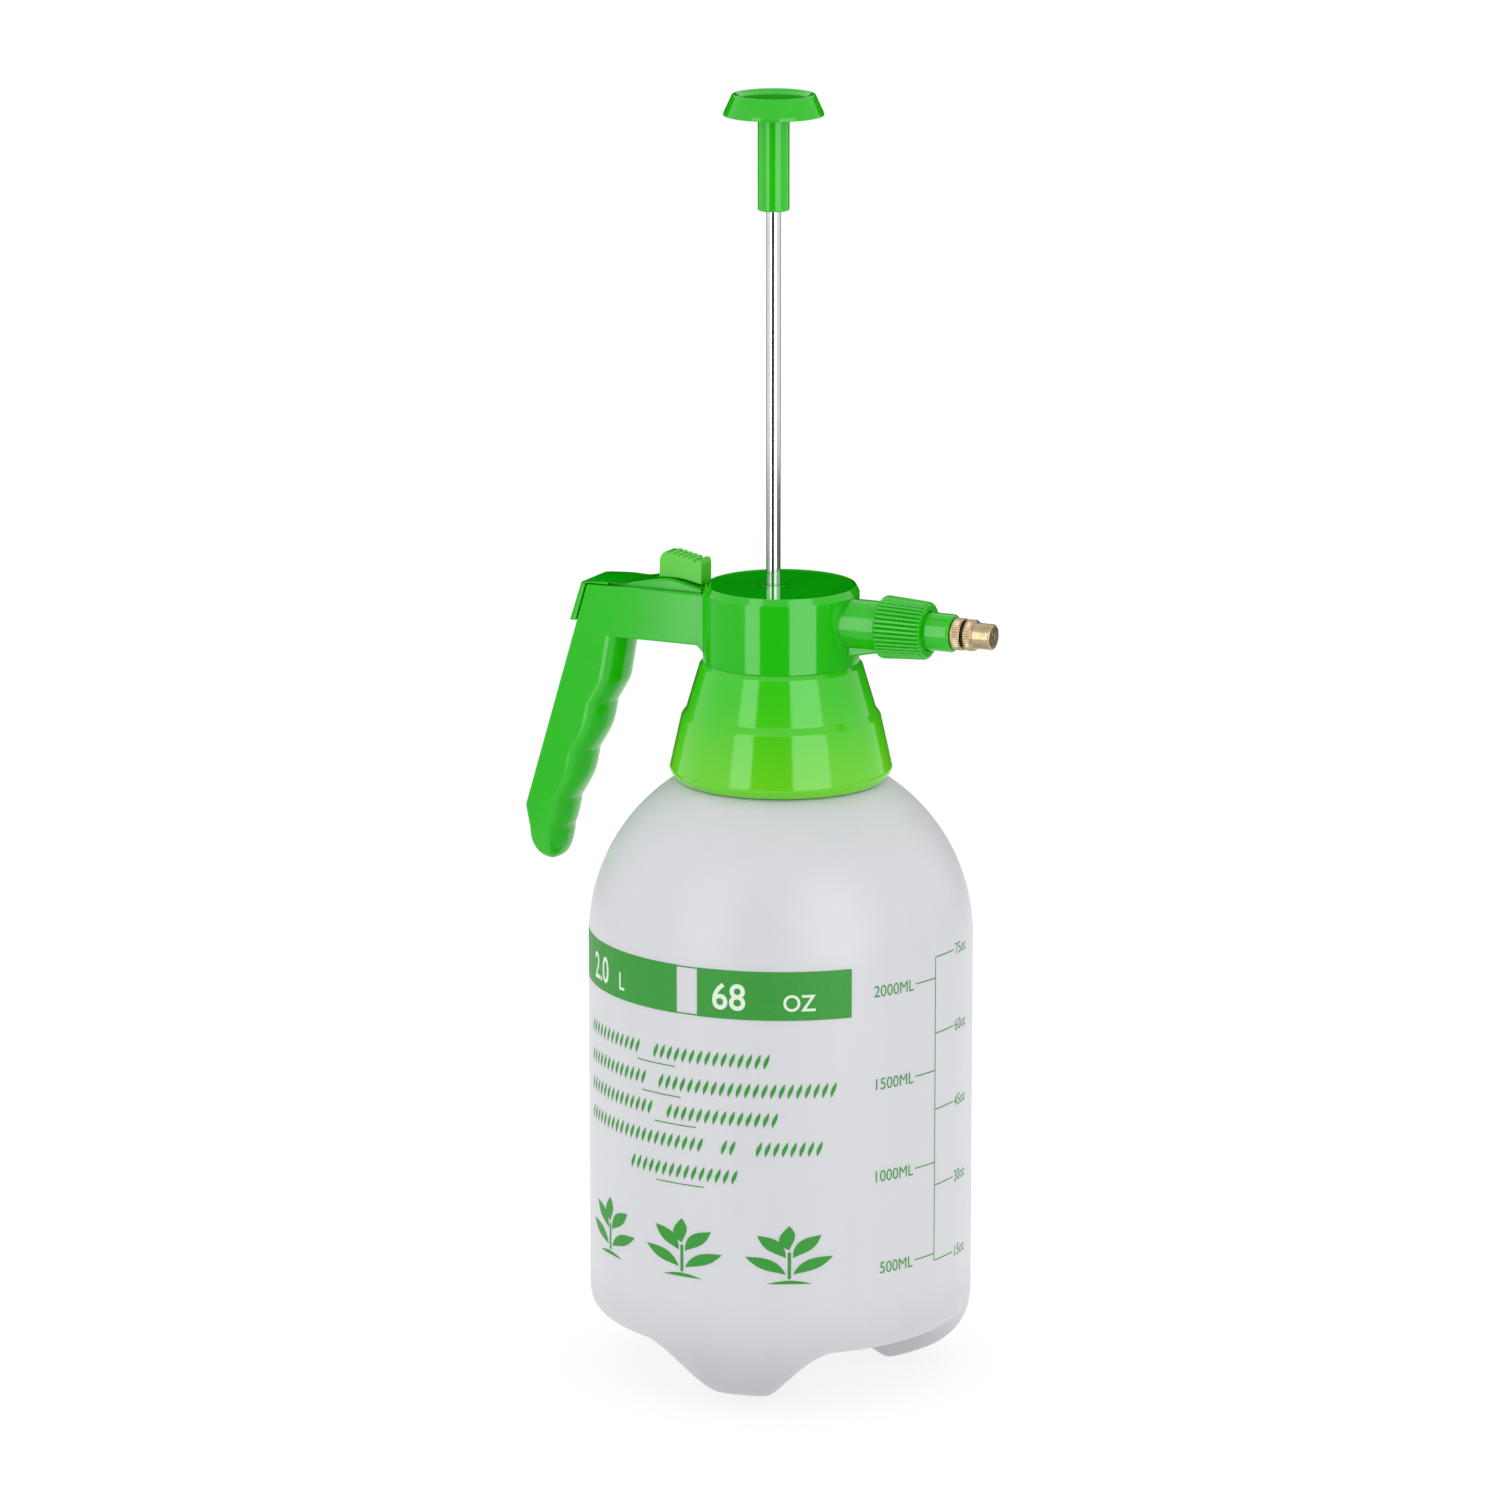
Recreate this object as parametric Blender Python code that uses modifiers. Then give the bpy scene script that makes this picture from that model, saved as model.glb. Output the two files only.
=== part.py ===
"""Hand-pumped pressure sprayer with a two-litre bottle.

The pieces stand in metres with +Z up and the spray nozzle along +X. Every height below is
measured from the floor, and every x and y from the bottle's own axis. The whole assembly
hangs on one empty, which shifts it so that the origin is at the middle of its footprint.
Heights run in one chain from the bottle's wall up, so that a longer wall lifts what is above.
"""

import math

import bmesh
import bpy

# Clearances
GAP = 0.0003
SLIDE_GAP = 0.0002
TRIGGER_GAP = 0.0004
FINE = 0.0000001
PAST = 0.01

# Bottle
BOTTLE_RADIUS = 0.0675
BOTTLE_WALL = 0.0018
WALL_BOTTOM_Z = 0.031
WALL_TOP_Z = 0.157
DOME_RISE = 0.0662
LEDGE_RISE = 0.00167
# The neck takes in the pump barrel and, beside it, the suction tube's collar
BARREL_RADIUS = 0.0125
NECK_RADIUS = BARREL_RADIUS + 0.0173
NECK_LENGTH = 0.0223
NECK_RIDGE = 0.0014
NECK_RIDGE_PITCH = 0.0075
NECK_RIDGES = 2
FEET = 3
FIRST_FOOT_DEG = -80.0
FOOT_FLAT_DEG = 9.6
FOOT_BLEND_DEG = 29.0
FOOT_PAD_INNER = 0.0375
FOOT_PAD_OUTER = 0.0415
BASE_EDGE_Z = 0.0202
BASE_CENTRE_Z = 0.015

# Screw collar, whose bore clears the neck's ridges
NECK_OUTER = NECK_RADIUS + NECK_RIDGE
COLLAR_BORE = NECK_OUTER + 2 * GAP
COLLAR_RADIUS = COLLAR_BORE + 0.0074
COLLAR_STEP_RADIUS = COLLAR_BORE + 0.0031
COLLAR_WAIST_RADIUS = COLLAR_BORE + 0.0014
COLLAR_HEIGHT = 0.0414
COLLAR_STEP_HEIGHT = 0.0219
DOME_TOP_RADIUS = COLLAR_RADIUS - 0.0002
DOME_END = math.acos(DOME_TOP_RADIUS / BOTTLE_RADIUS)
LEDGE_Z = WALL_TOP_Z + DOME_RISE * math.sin(DOME_END) + LEDGE_RISE
NECK_TOP_Z = LEDGE_Z + NECK_LENGTH
COLLAR_BOTTOM_Z = LEDGE_Z + 3 * GAP
COLLAR_STEP_Z = COLLAR_BOTTOM_Z + COLLAR_STEP_HEIGHT
COLLAR_TOP_Z = COLLAR_BOTTOM_Z + COLLAR_HEIGHT

# Head
HEAD_RADIUS = 0.0273
HEAD_TOP_Z = COLLAR_TOP_Z + 0.0269
HEAD_RIM = 0.0012
HEAD_CAVITY_RADIUS = HEAD_RADIUS - 0.0039
SPIGOT_RADIUS = HEAD_RADIUS - 0.0013
COLLAR_TOP_RADIUS = HEAD_RADIUS + 0.0010
DECK_THICKNESS = 0.0025
ARM_WIDTH = 0.020
ARM_TOP_Z = HEAD_TOP_Z - 0.0043
ARM_BOTTOM_Z = ARM_TOP_Z - 0.0183
ARM_BACK_X = -(HEAD_RADIUS + 0.0434)
HANDLE_SLOPE = 0.2995
CHANNEL_WIDTH = 0.016
CHANNEL_FLOOR_Z = ARM_TOP_Z - 0.0086
CHANNEL_BACK_X = ARM_BACK_X + 0.0042
GRIP_TOP_Z = ARM_BOTTOM_Z + 0.0027
GRIP_LOBE_Z = ARM_BOTTOM_Z - 0.0163
GRIP_LOBE_X = ARM_BACK_X + 0.0110
GRIP_LOBE_PITCH = 0.0181
GRIP_LOBE_DEPTH = 0.0015
GRIP_SLOPE = 0.398
GRIP_ROUND = 0.0057
GRIP_HEEL_Z = ARM_BOTTOM_Z - 0.0643
GRIP_TOE_Z = GRIP_HEEL_Z - 0.0080
GRIP_TIP_Z = GRIP_TOE_Z - 0.0114
GRIP_INSET = 0.0001

# Pump
PUMP_X = -0.003
CAP_THICKNESS = 0.004
CAP_RECESS = 0.0003
BARREL_WALL = 0.0015
BARREL_FLANGE = 0.0035
BARREL_FLANGE_THICKNESS = 0.002
ROD_RADIUS = 0.0025
ROD_STUD_RADIUS = ROD_RADIUS - 0.0009
STROKE = 0.130
PISTON_LENGTH = 0.010
CUP_LENGTH = 0.0048
CUP_WEB = 0.0016
KNOB_RADIUS = 0.0175
KNOB_TOP_RADIUS = 0.0145
KNOB_HEIGHT = 0.0073
KNOB_STEM_LENGTH = 0.033
STEM_RADIUS = 0.0055
STEM_CLEAR_OF_CAP = 0.0013
CHECK_DISC_RADIUS = 0.0072
CHECK_DISC_THICKNESS = 0.0016
PISTON_TOP_Z = HEAD_TOP_Z - 0.0139
BARREL_BOTTOM_Z = PISTON_TOP_Z - STROKE - 0.026
SEAT_Z = BARREL_BOTTOM_Z - 0.0015
CAP_TOP_Z = HEAD_TOP_Z - CAP_RECESS
CAP_LOW_Z = CAP_TOP_Z - CAP_THICKNESS
BARREL_TOP_Z = CAP_LOW_Z - GAP
DECK_TOP_Z = BARREL_TOP_Z - BARREL_FLANGE_THICKNESS - GAP
BARREL_BORE = BARREL_RADIUS - BARREL_WALL
GUIDE_RADIUS = ROD_RADIUS + 0.0021
PISTON_RADIUS = BARREL_BORE - 2 * SLIDE_GAP
STEM_LOW_Z = CAP_TOP_Z + STEM_CLEAR_OF_CAP + STROKE
KNOB_TOP_Z = STEM_LOW_Z + KNOB_STEM_LENGTH + KNOB_HEIGHT

# Stack on the neck: gasket, seal plate, head spigot
GASKET_LOW = NECK_TOP_Z + GAP
GASKET_HIGH = GASKET_LOW + 0.0016
SEAL_PLATE_LOW = GASKET_HIGH + GAP
SEAL_PLATE_HIGH = SEAL_PLATE_LOW + 0.003
SPIGOT_LOW = SEAL_PLATE_HIGH + GAP
SEAL_RADIUS = COLLAR_BORE - 2 * GAP - 0.0004

# Suction line and valve
TUBE_RADIUS = 0.0030
TUBE_WALL = 0.0008
SUCTION_X = PUMP_X - BARREL_RADIUS - 0.0025 - TUBE_RADIUS
DIP_BOTTOM_Z = BASE_CENTRE_Z + 0.009
FILTER_RADIUS = 0.0048
FILTER_LENGTH = 0.014
FILTER_SLOT = 0.0006
FILTER_BOTTOM_Z = BASE_CENTRE_Z + 0.005
ADAPTER_RADIUS = 0.0026
ADAPTER_FLANGE = 0.0041
ADAPTER_FLANGE_LOW = SEAL_PLATE_LOW - GAP - 0.0016
BARB_RADIUS = TUBE_RADIUS - TUBE_WALL - GAP
DELIVERY_RADIUS = 0.0017
PASSAGE_RADIUS = 0.0012
INLET_RADIUS = 0.0010
RISER_HALF_WIDTH = 0.0036
RISER_TOP_Z = CHANNEL_FLOOR_Z - 0.0043
RISER_BORE_TOP_Z = RISER_TOP_Z - 0.0016
VALVE_FLOOR_Z = CHANNEL_FLOOR_Z - 0.0084
INLET_Z = VALVE_FLOOR_Z + 0.0014
OUTLET_Z = CHANNEL_FLOOR_Z - 0.0023
VALVE_X = -(HEAD_RADIUS + 0.0087)
VALVE_BORE = 0.0034
VALVE_STEM_RADIUS = 0.0009
VALVE_HEAD_RADIUS = 0.0026
BUSH_LOW_Z = CHANNEL_FLOOR_Z - 0.0044
BUSH_HIGH_Z = CHANNEL_FLOOR_Z + 0.0014
BUSH_BORE = 0.0018
BUSH_BORE_TOP_Z = CHANNEL_FLOOR_Z - 0.0008
STEM_HEAD_Z = CHANNEL_FLOOR_Z + 0.0061
STEM_HEAD_HEIGHT = 0.0012
SPRING_WIRE_RADIUS = 0.00025
SPRING_RADIUS = 0.0021
SPRING_TURNS = 4

# Trigger
PIVOT_X = -(HEAD_RADIUS + 0.0347)
PIVOT_Z = ARM_TOP_Z - 0.0041
PIVOT_PIN_RADIUS = 0.0011
PIN_HALF_LENGTH = ARM_WIDTH / 2 - 0.0010
LUG_RADIUS = 0.0034
LUG_HALF_WIDTH = 0.004
LEVER_WIDTH = CHANNEL_WIDTH - 2 * TRIGGER_GAP
LEVER_UNDER_Z = STEM_HEAD_Z + STEM_HEAD_HEIGHT + GAP
LEVER_FRONT_RADIUS = HEAD_RADIUS + 0.0010
LEVER_REAR_RISE = 0.0008
LEVER_CREST_RISE = 0.0034
LEVER_CREST_X = -(HEAD_RADIUS + 0.0142)
LEVER_CREST_WIDTH = 0.0125
TAIL_THICKNESS = 0.0022
TAIL_LOW_Z = ARM_BOTTOM_Z + 0.0048
THUMB_BACK_X = -(HEAD_RADIUS + 0.0179)
THUMB_FRONT_X = -(HEAD_RADIUS + 0.0015)
THUMB_WIDTH = 0.008
THUMB_TOP_Z = ARM_TOP_Z + 0.0136
THUMB_TOP_DROP = 0.0024
THUMB_RIBS = 5
THUMB_RIB_PITCH = 0.0019
LOCK_TRAVEL = 0.0025
SLOT_HALF = 0.0018

# Nozzle, along +X
NOZZLE_Z = HEAD_TOP_Z - 0.0115
SPOUT_RADIUS = 0.0087
SPOUT_END_X = HEAD_RADIUS + 0.0118
SPOUT_THREAD_RADIUS = 0.0082
SPOUT_TIP_X = SPOUT_END_X + 0.0109
SPOUT_BORE = 0.0030
SEAL_THICKNESS = 0.0010
SEAL_X = SPOUT_TIP_X + GAP
TUBE_FLANGE_X = SEAL_X + SEAL_THICKNESS + GAP
TUBE_FLANGE_END_X = TUBE_FLANGE_X + 0.0020
NUT_RADIUS = 0.0110
NUT_FRONT_RADIUS = 0.0100
NUT_ROUND = 0.0012
NUT_START_X = SPOUT_END_X + GAP
NUT_END_X = NUT_START_X + 0.0170
NUT_BORE = SPOUT_THREAD_RADIUS + 2 * GAP
NUT_RIB_DEPTH = 0.0004
NUT_RIBS = 40
NOZZLE_TUBE_RADIUS = 0.00665
NOZZLE_TUBE_BORE = 0.0022
NOZZLE_TUBE_END_X = NUT_END_X + 0.0096
BRASS_SOCKET = 0.0042
BRASS_START_X = NOZZLE_TUBE_END_X - 0.0080
BRASS_RADIUS = 0.0056
BRASS_BORE = 0.0008
BRASS_GROOVE_X = NOZZLE_TUBE_END_X + 0.0038
O_RING_SEAT = 0.0036
CAP_STUD_RADIUS = 0.0033
CAP_RING_RADIUS = 0.00545
CAP_RING_END_X = BRASS_GROOVE_X + 0.0041
CAP_TIP_RADIUS = 0.0045
NOZZLE_END_X = CAP_RING_END_X + 0.0068

FRONT = NOZZLE_END_X
BACK = -(ARM_BACK_X - HANDLE_SLOPE * (ARM_TOP_Z - GRIP_HEEL_Z))
AXIS_X = (BACK - FRONT) / 2

BOTTLE_STEPS = 42
HEAD_STEPS = 40
COLLAR_STEPS = 42
ROUND_STEPS = 28
SMALL_STEPS = 20
PIN_HOLE_STEPS = 16


# ---- Scene, materials and shared shapes

def clear_scene():
    for old in list(bpy.data.objects):
        bpy.data.objects.remove(old, do_unlink=True)


def new_collection(name):
    made = bpy.data.collections.new(name)
    bpy.context.scene.collection.children.link(made)
    return made


def surface(name, colour, roughness, metallic=0.0):
    made = bpy.data.materials.new(name)
    made.use_nodes = True
    shader = made.node_tree.nodes["Principled BSDF"]
    shader.inputs["Base Color"].default_value = (*colour, 1.0)
    shader.inputs["Roughness"].default_value = roughness
    shader.inputs["Metallic"].default_value = metallic
    return made


clear_scene()
parts = new_collection("pump_sprayer")
helpers = new_collection("cutters")


def pivot(name, x, z, parent=None):
    """An empty on a joint's axis, given in the assembly's own coordinates."""
    made = bpy.data.objects.new(name, None)
    made.empty_display_size = 0.01
    parts.objects.link(made)
    made["x"] = x
    made["z"] = z
    made.parent = parent
    made.location = (x - parent["x"], 0, z - parent["z"]) if parent else (AXIS_X, 0, 0)
    return made


assembly = pivot("sprayer_base", 0.0, 0.0)
head_lift = pivot("head_lift_axis", 0.0, NECK_TOP_Z, assembly)
collar_axis = pivot("collar_axis", 0.0, COLLAR_BOTTOM_Z, head_lift)
pump_axis = pivot("pump_axis", PUMP_X, HEAD_TOP_Z, head_lift)
check_axis = pivot("check_valve_axis", PUMP_X, BARREL_BOTTOM_Z, head_lift)
trigger_axis = pivot("trigger_axis", PIVOT_X, PIVOT_Z, head_lift)
lock_axis = pivot("lock_axis", THUMB_FRONT_X, PIVOT_Z, trigger_axis)
valve_axis = pivot("valve_axis", VALVE_X, CHANNEL_FLOOR_Z, head_lift)
nut_axis = pivot("nut_axis", SPOUT_END_X, NOZZLE_Z, head_lift)
nozzle_cap_axis = pivot("nozzle_cap_axis", CAP_RING_END_X, NOZZLE_Z, head_lift)


def add_object(name, mesh, material, parent, x=0.0, z=0.0, helper=False):
    """Places a mesh whose own zero is at (x, 0, z) of the assembly."""
    made = bpy.data.objects.new(name, mesh)
    (helpers if helper else parts).objects.link(made)
    made.parent = parent
    made.location = (x - parent["x"], 0, z - parent["z"])
    if material:
        mesh.materials.append(material)
    if helper:
        made.hide_render = True
        made.display_type = "WIRE"
    return made


def profile_mesh(name, points):
    """An outline in the XZ plane, turned so that its outer side runs from top to bottom."""
    onto_axis = points[0][0] == 0 and points[-1][0] == 0
    ring = list(points)
    area = sum(a[0] * b[1] - b[0] * a[1] for a, b in zip(ring, ring[1:] + ring[:1]))
    if area > 0:
        ring.reverse()
    mesh = bpy.data.meshes.new(name)
    edges = [(i, i + 1) for i in range(len(ring) - 1)]
    if not onto_axis:
        edges.append((len(ring) - 1, 0))
    mesh.from_pydata([(r, 0, h) for r, h in ring], edges, [])
    return mesh


def turned(name, points, material, parent, steps=ROUND_STEPS, x=0.0, z=0.0, along_x=False,
           helper=False):
    """A turned piece. Its outline gives (radius, height), or (radius, x) along the nozzle."""
    made = add_object(name, profile_mesh(name, points), material, parent, x, z, helper)
    if along_x:
        made.rotation_euler = (0, math.pi / 2, 0)
    screw = made.modifiers.new("turn", "SCREW")
    screw.steps = steps
    screw.render_steps = steps
    screw.use_merge_vertices = True
    screw.merge_threshold = FINE
    screw.use_smooth_shade = True
    return made


def rod_points(radius, low, high):
    return [(0, high), (radius, high), (radius, low), (0, low)]


def ring_points(inner, outer, low, high):
    return [(outer, high), (outer, low), (inner, low), (inner, high)]


def plate(name, outline, width, material, parent, bevel=0.0, helper=False):
    """A side outline in XZ given a width across Y."""
    shape = bmesh.new()
    near = [shape.verts.new((x, -width / 2, z)) for x, z in outline]
    face = shape.faces.new(near)
    made = bmesh.ops.extrude_face_region(shape, geom=[face])
    far = [item for item in made["geom"] if isinstance(item, bmesh.types.BMVert)]
    bmesh.ops.translate(shape, verts=far, vec=(0, width, 0))
    bmesh.ops.recalc_face_normals(shape, faces=shape.faces)
    if bevel:
        bmesh.ops.bevel(shape, geom=list(shape.edges), offset=bevel, segments=1,
                        affect="EDGES", clamp_overlap=True)
    mesh = bpy.data.meshes.new(name)
    shape.to_mesh(mesh)
    shape.free()
    return add_object(name, mesh, material, parent, helper=helper)


def block(name, low, high, material, parent, helper=False):
    """A box between two corners."""
    shape = bmesh.new()
    bmesh.ops.create_cube(shape, size=1.0)
    bmesh.ops.scale(shape, vec=[b - a for a, b in zip(low, high)], verts=shape.verts)
    bmesh.ops.translate(shape, vec=[(a + b) / 2 for a, b in zip(low, high)], verts=shape.verts)
    mesh = bpy.data.meshes.new(name)
    shape.to_mesh(mesh)
    shape.free()
    return add_object(name, mesh, material, parent, helper=helper)


def lofted(name, rings, material, parent, caps=True, around=False, helper=False):
    """A skin through rings of equal count. It ends in caps, or runs around to its first ring."""
    shape = bmesh.new()
    rows = [[shape.verts.new(point) for point in ring] for ring in rings]
    if around:
        rows.append(rows[0])
    for row, after in zip(rows, rows[1:]):
        for i in range(len(row)):
            j = (i + 1) % len(row)
            shape.faces.new((row[i], row[j], after[j], after[i]))
    if caps:
        shape.faces.new(rows[0][::-1])
        shape.faces.new(rows[-1])
    bmesh.ops.recalc_face_normals(shape, faces=shape.faces)
    mesh = bpy.data.meshes.new(name)
    shape.to_mesh(mesh)
    shape.free()
    return add_object(name, mesh, material, parent, helper=helper)


def combine(target, other, operation):
    step = target.modifiers.new(other.name, "BOOLEAN")
    step.operation = operation
    step.object = other
    step.solver = "EXACT"


def cut(target, *others):
    for other in others:
        combine(target, other, "DIFFERENCE")


def join(target, *others):
    for other in others:
        combine(target, other, "UNION")


def bore(name, radius, low, high, parent, x=0.0, z=0.0, along_x=False, steps=SMALL_STEPS):
    return turned(name, rod_points(radius, low, high), None, parent, steps, x, z, along_x, True)


def tube_mesh(name, path, radius, resolution, material, parent, cyclic=False):
    """A round wire or tube along a path of points, with flat ends."""
    curve = bpy.data.curves.new(name, "CURVE")
    curve.dimensions = "3D"
    curve.bevel_depth = radius
    curve.bevel_resolution = resolution
    curve.use_fill_caps = True
    line = curve.splines.new("POLY")
    line.points.add(len(path) - 1)
    for point, place in zip(line.points, path):
        point.co = (*place, 1.0)
    line.use_cyclic_u = cyclic
    return add_object(name, curve, material, parent)


def smoothstep(low, high, value):
    t = min(1.0, max(0.0, (value - low) / (high - low)))
    return t * t * (3 - 2 * t)


green = surface("green_plastic", (0.045, 0.50, 0.025), 0.22)
dark_green = surface("dark_green_plastic", (0.006, 0.30, 0.006), 0.18)
milky = surface("milky_plastic", (0.80, 0.82, 0.84), 0.35)
clear_plastic = surface("clear_tube_plastic", (0.85, 0.88, 0.88), 0.25)
white_plastic = surface("white_plastic", (0.86, 0.86, 0.84), 0.35)
black_rubber = surface("black_rubber", (0.02, 0.02, 0.02), 0.6)
steel = surface("polished_steel", (0.62, 0.62, 0.62), 0.15, 1.0)
brass = surface("turned_brass", (0.66, 0.44, 0.16), 0.28, 1.0)


# ---- Bottle: one blown shell with three feet, a domed shoulder and a ridged neck

def foot_weight(angle):
    """0 on the middle of a foot and 1 between two feet."""
    sector = 360.0 / FEET
    away = abs((math.degrees(angle) - FIRST_FOOT_DEG + sector / 2) % sector - sector / 2)
    return smoothstep(FOOT_FLAT_DEG, FOOT_BLEND_DEG, away)


def bottle_base():
    """(foot section, section between feet), both from the wall in to the middle."""
    r = BOTTLE_RADIUS
    edge = BASE_EDGE_Z
    centre = BASE_CENTRE_Z
    foot = [
        (r - 0.0002, 0.0245), (r - 0.0017, 0.0165), (r - 0.0053, 0.0100), (r - 0.0105, 0.0054),
        (r - 0.0170, 0.0024), (FOOT_PAD_OUTER, 0.0), (FOOT_PAD_INNER, 0.0), (0.029, 0.0060),
        (0.0215, centre - 0.0020), (0.011, centre - 0.0001),
    ]
    between = [
        (r - 0.0003, edge + 0.0070), (r - 0.0019, edge + 0.0034), (r - 0.0055, edge + 0.0010),
        (r - 0.0105, edge), (r - 0.0170, edge - 0.0002), (FOOT_PAD_OUTER, edge - 0.0008),
        (FOOT_PAD_INNER, edge - 0.0016), (0.029, edge - 0.0030), (0.0215, centre + 0.0012),
        (0.011, centre + 0.0002),
    ]
    return foot, between


def bottle_upper():
    """The wall, the dome, the ledge under the collar and the neck, from the foot up."""
    points = [(BOTTLE_RADIUS, WALL_BOTTOM_Z), (BOTTLE_RADIUS, WALL_TOP_Z)]
    steps = 8
    for i in range(1, steps + 1):
        turn = DOME_END * i / steps
        height = WALL_TOP_Z + DOME_RISE * math.sin(turn)
        points.append((BOTTLE_RADIUS * math.cos(turn), height))
    points += [(DOME_TOP_RADIUS - 0.003, LEDGE_Z), (NECK_RADIUS + 0.0015, LEDGE_Z + 0.0003)]
    points.append((NECK_RADIUS, LEDGE_Z + 0.0018))
    for i in range(NECK_RIDGES):
        low = LEDGE_Z + 0.0045 + i * NECK_RIDGE_PITCH
        crest = NECK_RADIUS + NECK_RIDGE
        points += [(NECK_RADIUS, low), (crest, low + 0.001), (crest, low + 0.002)]
        points.append((NECK_RADIUS, low + 0.003))
    points.append((NECK_RADIUS, NECK_TOP_Z))
    return points


def make_bottle():
    foot, between = bottle_base()
    angles = [math.radians(FIRST_FOOT_DEG) + math.tau * i / BOTTLE_STEPS
              for i in range(BOTTLE_STEPS)]
    rings = []
    for (foot_r, foot_z), (gap_r, gap_z) in zip(foot, between):
        ring = []
        for angle in angles:
            w = foot_weight(angle)
            r = foot_r + (gap_r - foot_r) * w
            ring.append((r * math.cos(angle), r * math.sin(angle), foot_z + (gap_z - foot_z) * w))
        rings.insert(0, ring)
    for r, z in bottle_upper():
        rings.append([(r * math.cos(angle), r * math.sin(angle), z) for angle in angles])
    bottle = lofted("bottle", rings, milky, assembly, caps=False)
    shape = bmesh.new()
    shape.from_mesh(bottle.data)
    shape.verts.ensure_lookup_table()
    first_ring = [shape.verts[i] for i in range(BOTTLE_STEPS)]
    middle = shape.verts.new((0, 0, BASE_CENTRE_Z))
    for i, vert in enumerate(first_ring):
        shape.faces.new((middle, first_ring[(i + 1) % BOTTLE_STEPS], vert))
    bmesh.ops.recalc_face_normals(shape, faces=shape.faces)
    shape.to_mesh(bottle.data)
    shape.free()
    bottle.data.shade_smooth()
    wall = bottle.modifiers.new("wall", "SOLIDIFY")
    wall.thickness = BOTTLE_WALL
    wall.offset = -1.0
    wall.use_even_offset = True


# ---- Stack on the neck: gasket, seal plate, head spigot, with the collar round them

def make_collar():
    bore_top = SEAL_PLATE_HIGH + GAP
    neck_hole = SPIGOT_RADIUS + GAP
    turned("screw_collar", [
        (neck_hole, COLLAR_TOP_Z), (COLLAR_TOP_RADIUS - 0.0010, COLLAR_TOP_Z),
        (COLLAR_TOP_RADIUS, COLLAR_TOP_Z - 0.0008),
        (COLLAR_WAIST_RADIUS, COLLAR_STEP_Z + 0.0025), (COLLAR_STEP_RADIUS, COLLAR_STEP_Z),
        (COLLAR_RADIUS, COLLAR_BOTTOM_Z + 0.0032),
        (COLLAR_RADIUS - 0.0021, COLLAR_BOTTOM_Z), (COLLAR_BORE, COLLAR_BOTTOM_Z),
        (COLLAR_BORE, bore_top), (neck_hole, bore_top),
    ], green, collar_axis, COLLAR_STEPS)


def make_neck_seals():
    neck_bore = NECK_RADIUS - BOTTLE_WALL
    turned("neck_gasket", ring_points(neck_bore - 0.001, SEAL_RADIUS, GASKET_LOW, GASKET_HIGH),
           black_rubber, head_lift, COLLAR_STEPS)
    seal_plate = turned("seal_plate", rod_points(SEAL_RADIUS, SEAL_PLATE_LOW, SEAL_PLATE_HIGH),
                        green, head_lift, COLLAR_STEPS)
    low = SEAL_PLATE_LOW - PAST
    high = SEAL_PLATE_HIGH + PAST
    cut(seal_plate,
        bore("seal_plate_barrel_hole", BARREL_RADIUS + 2 * GAP, low, high, head_lift, PUMP_X,
             steps=ROUND_STEPS),
        bore("seal_plate_tube_hole", ADAPTER_RADIUS + GAP, low, high, head_lift, SUCTION_X))


# ---- Head: cylinder, spout, arm and grip in one moulding

def grip_front(z):
    """x of the finger side's front line at a height: four shallow lobes down a slope."""
    drop = GRIP_LOBE_Z - z
    if drop <= 0:
        return GRIP_LOBE_X - 0.18 * drop
    dip = 1.0 - abs(math.cos(math.pi * drop / GRIP_LOBE_PITCH))
    return GRIP_LOBE_X - GRIP_SLOPE * drop - GRIP_LOBE_DEPTH * dip


def grip_back(z):
    return ARM_BACK_X - HANDLE_SLOPE * (ARM_TOP_Z - z)


def grip_slice(back, front, half_width, z):
    """A level slice: square at the back with small corners, an ellipse at the front."""
    depth = min(GRIP_ROUND, 0.55 * (front - back))
    corner = min(0.0012, 0.3 * (front - back))
    points = []
    for i in range(3):
        turn = math.pi / 2 * i / 2
        points.append((back + corner - corner * math.cos(turn),
                       half_width - corner + corner * math.sin(turn), z))
    for i in range(9):
        turn = math.pi / 2 - math.pi * i / 8
        points.append((front - depth + depth * math.cos(turn), half_width * math.sin(turn), z))
    for i in range(3):
        turn = math.pi / 2 * (2 - i) / 2
        points.append((back + corner - corner * math.cos(turn),
                       -(half_width - corner + corner * math.sin(turn)), z))
    return points


def grip_slices():
    half = ARM_WIDTH / 2 - GRIP_INSET
    rings = []
    steps = 24
    for i in range(steps + 1):
        z = GRIP_TOP_Z + (GRIP_HEEL_Z - GRIP_TOP_Z) * i / steps
        rings.append(grip_slice(grip_back(z) + GRIP_INSET, grip_front(z), half, z))
    heel_x = grip_back(GRIP_HEEL_Z) + GRIP_INSET
    toe_back_x = heel_x + 0.0016
    for i in range(1, 4):
        z = GRIP_HEEL_Z + (GRIP_TOE_Z - GRIP_HEEL_Z) * i / 3
        back = heel_x + (toe_back_x - heel_x) * i / 3
        rings.append(grip_slice(back, grip_front(z), half, z))
    toe_front_x = grip_front(GRIP_TOE_Z)
    middle = (toe_back_x + toe_front_x) / 2 + 0.0008
    for i in range(1, 7):
        turn = math.pi / 2 * i / 6.35
        z = GRIP_TOE_Z - (GRIP_TOE_Z - GRIP_TIP_Z) * math.sin(turn)
        shrink = math.cos(turn)
        back = middle + (toe_back_x - middle) * shrink
        front = middle + (toe_front_x - middle) * shrink
        rings.append(grip_slice(back, front, half * (0.25 + 0.75 * shrink), z))
    return rings


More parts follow.
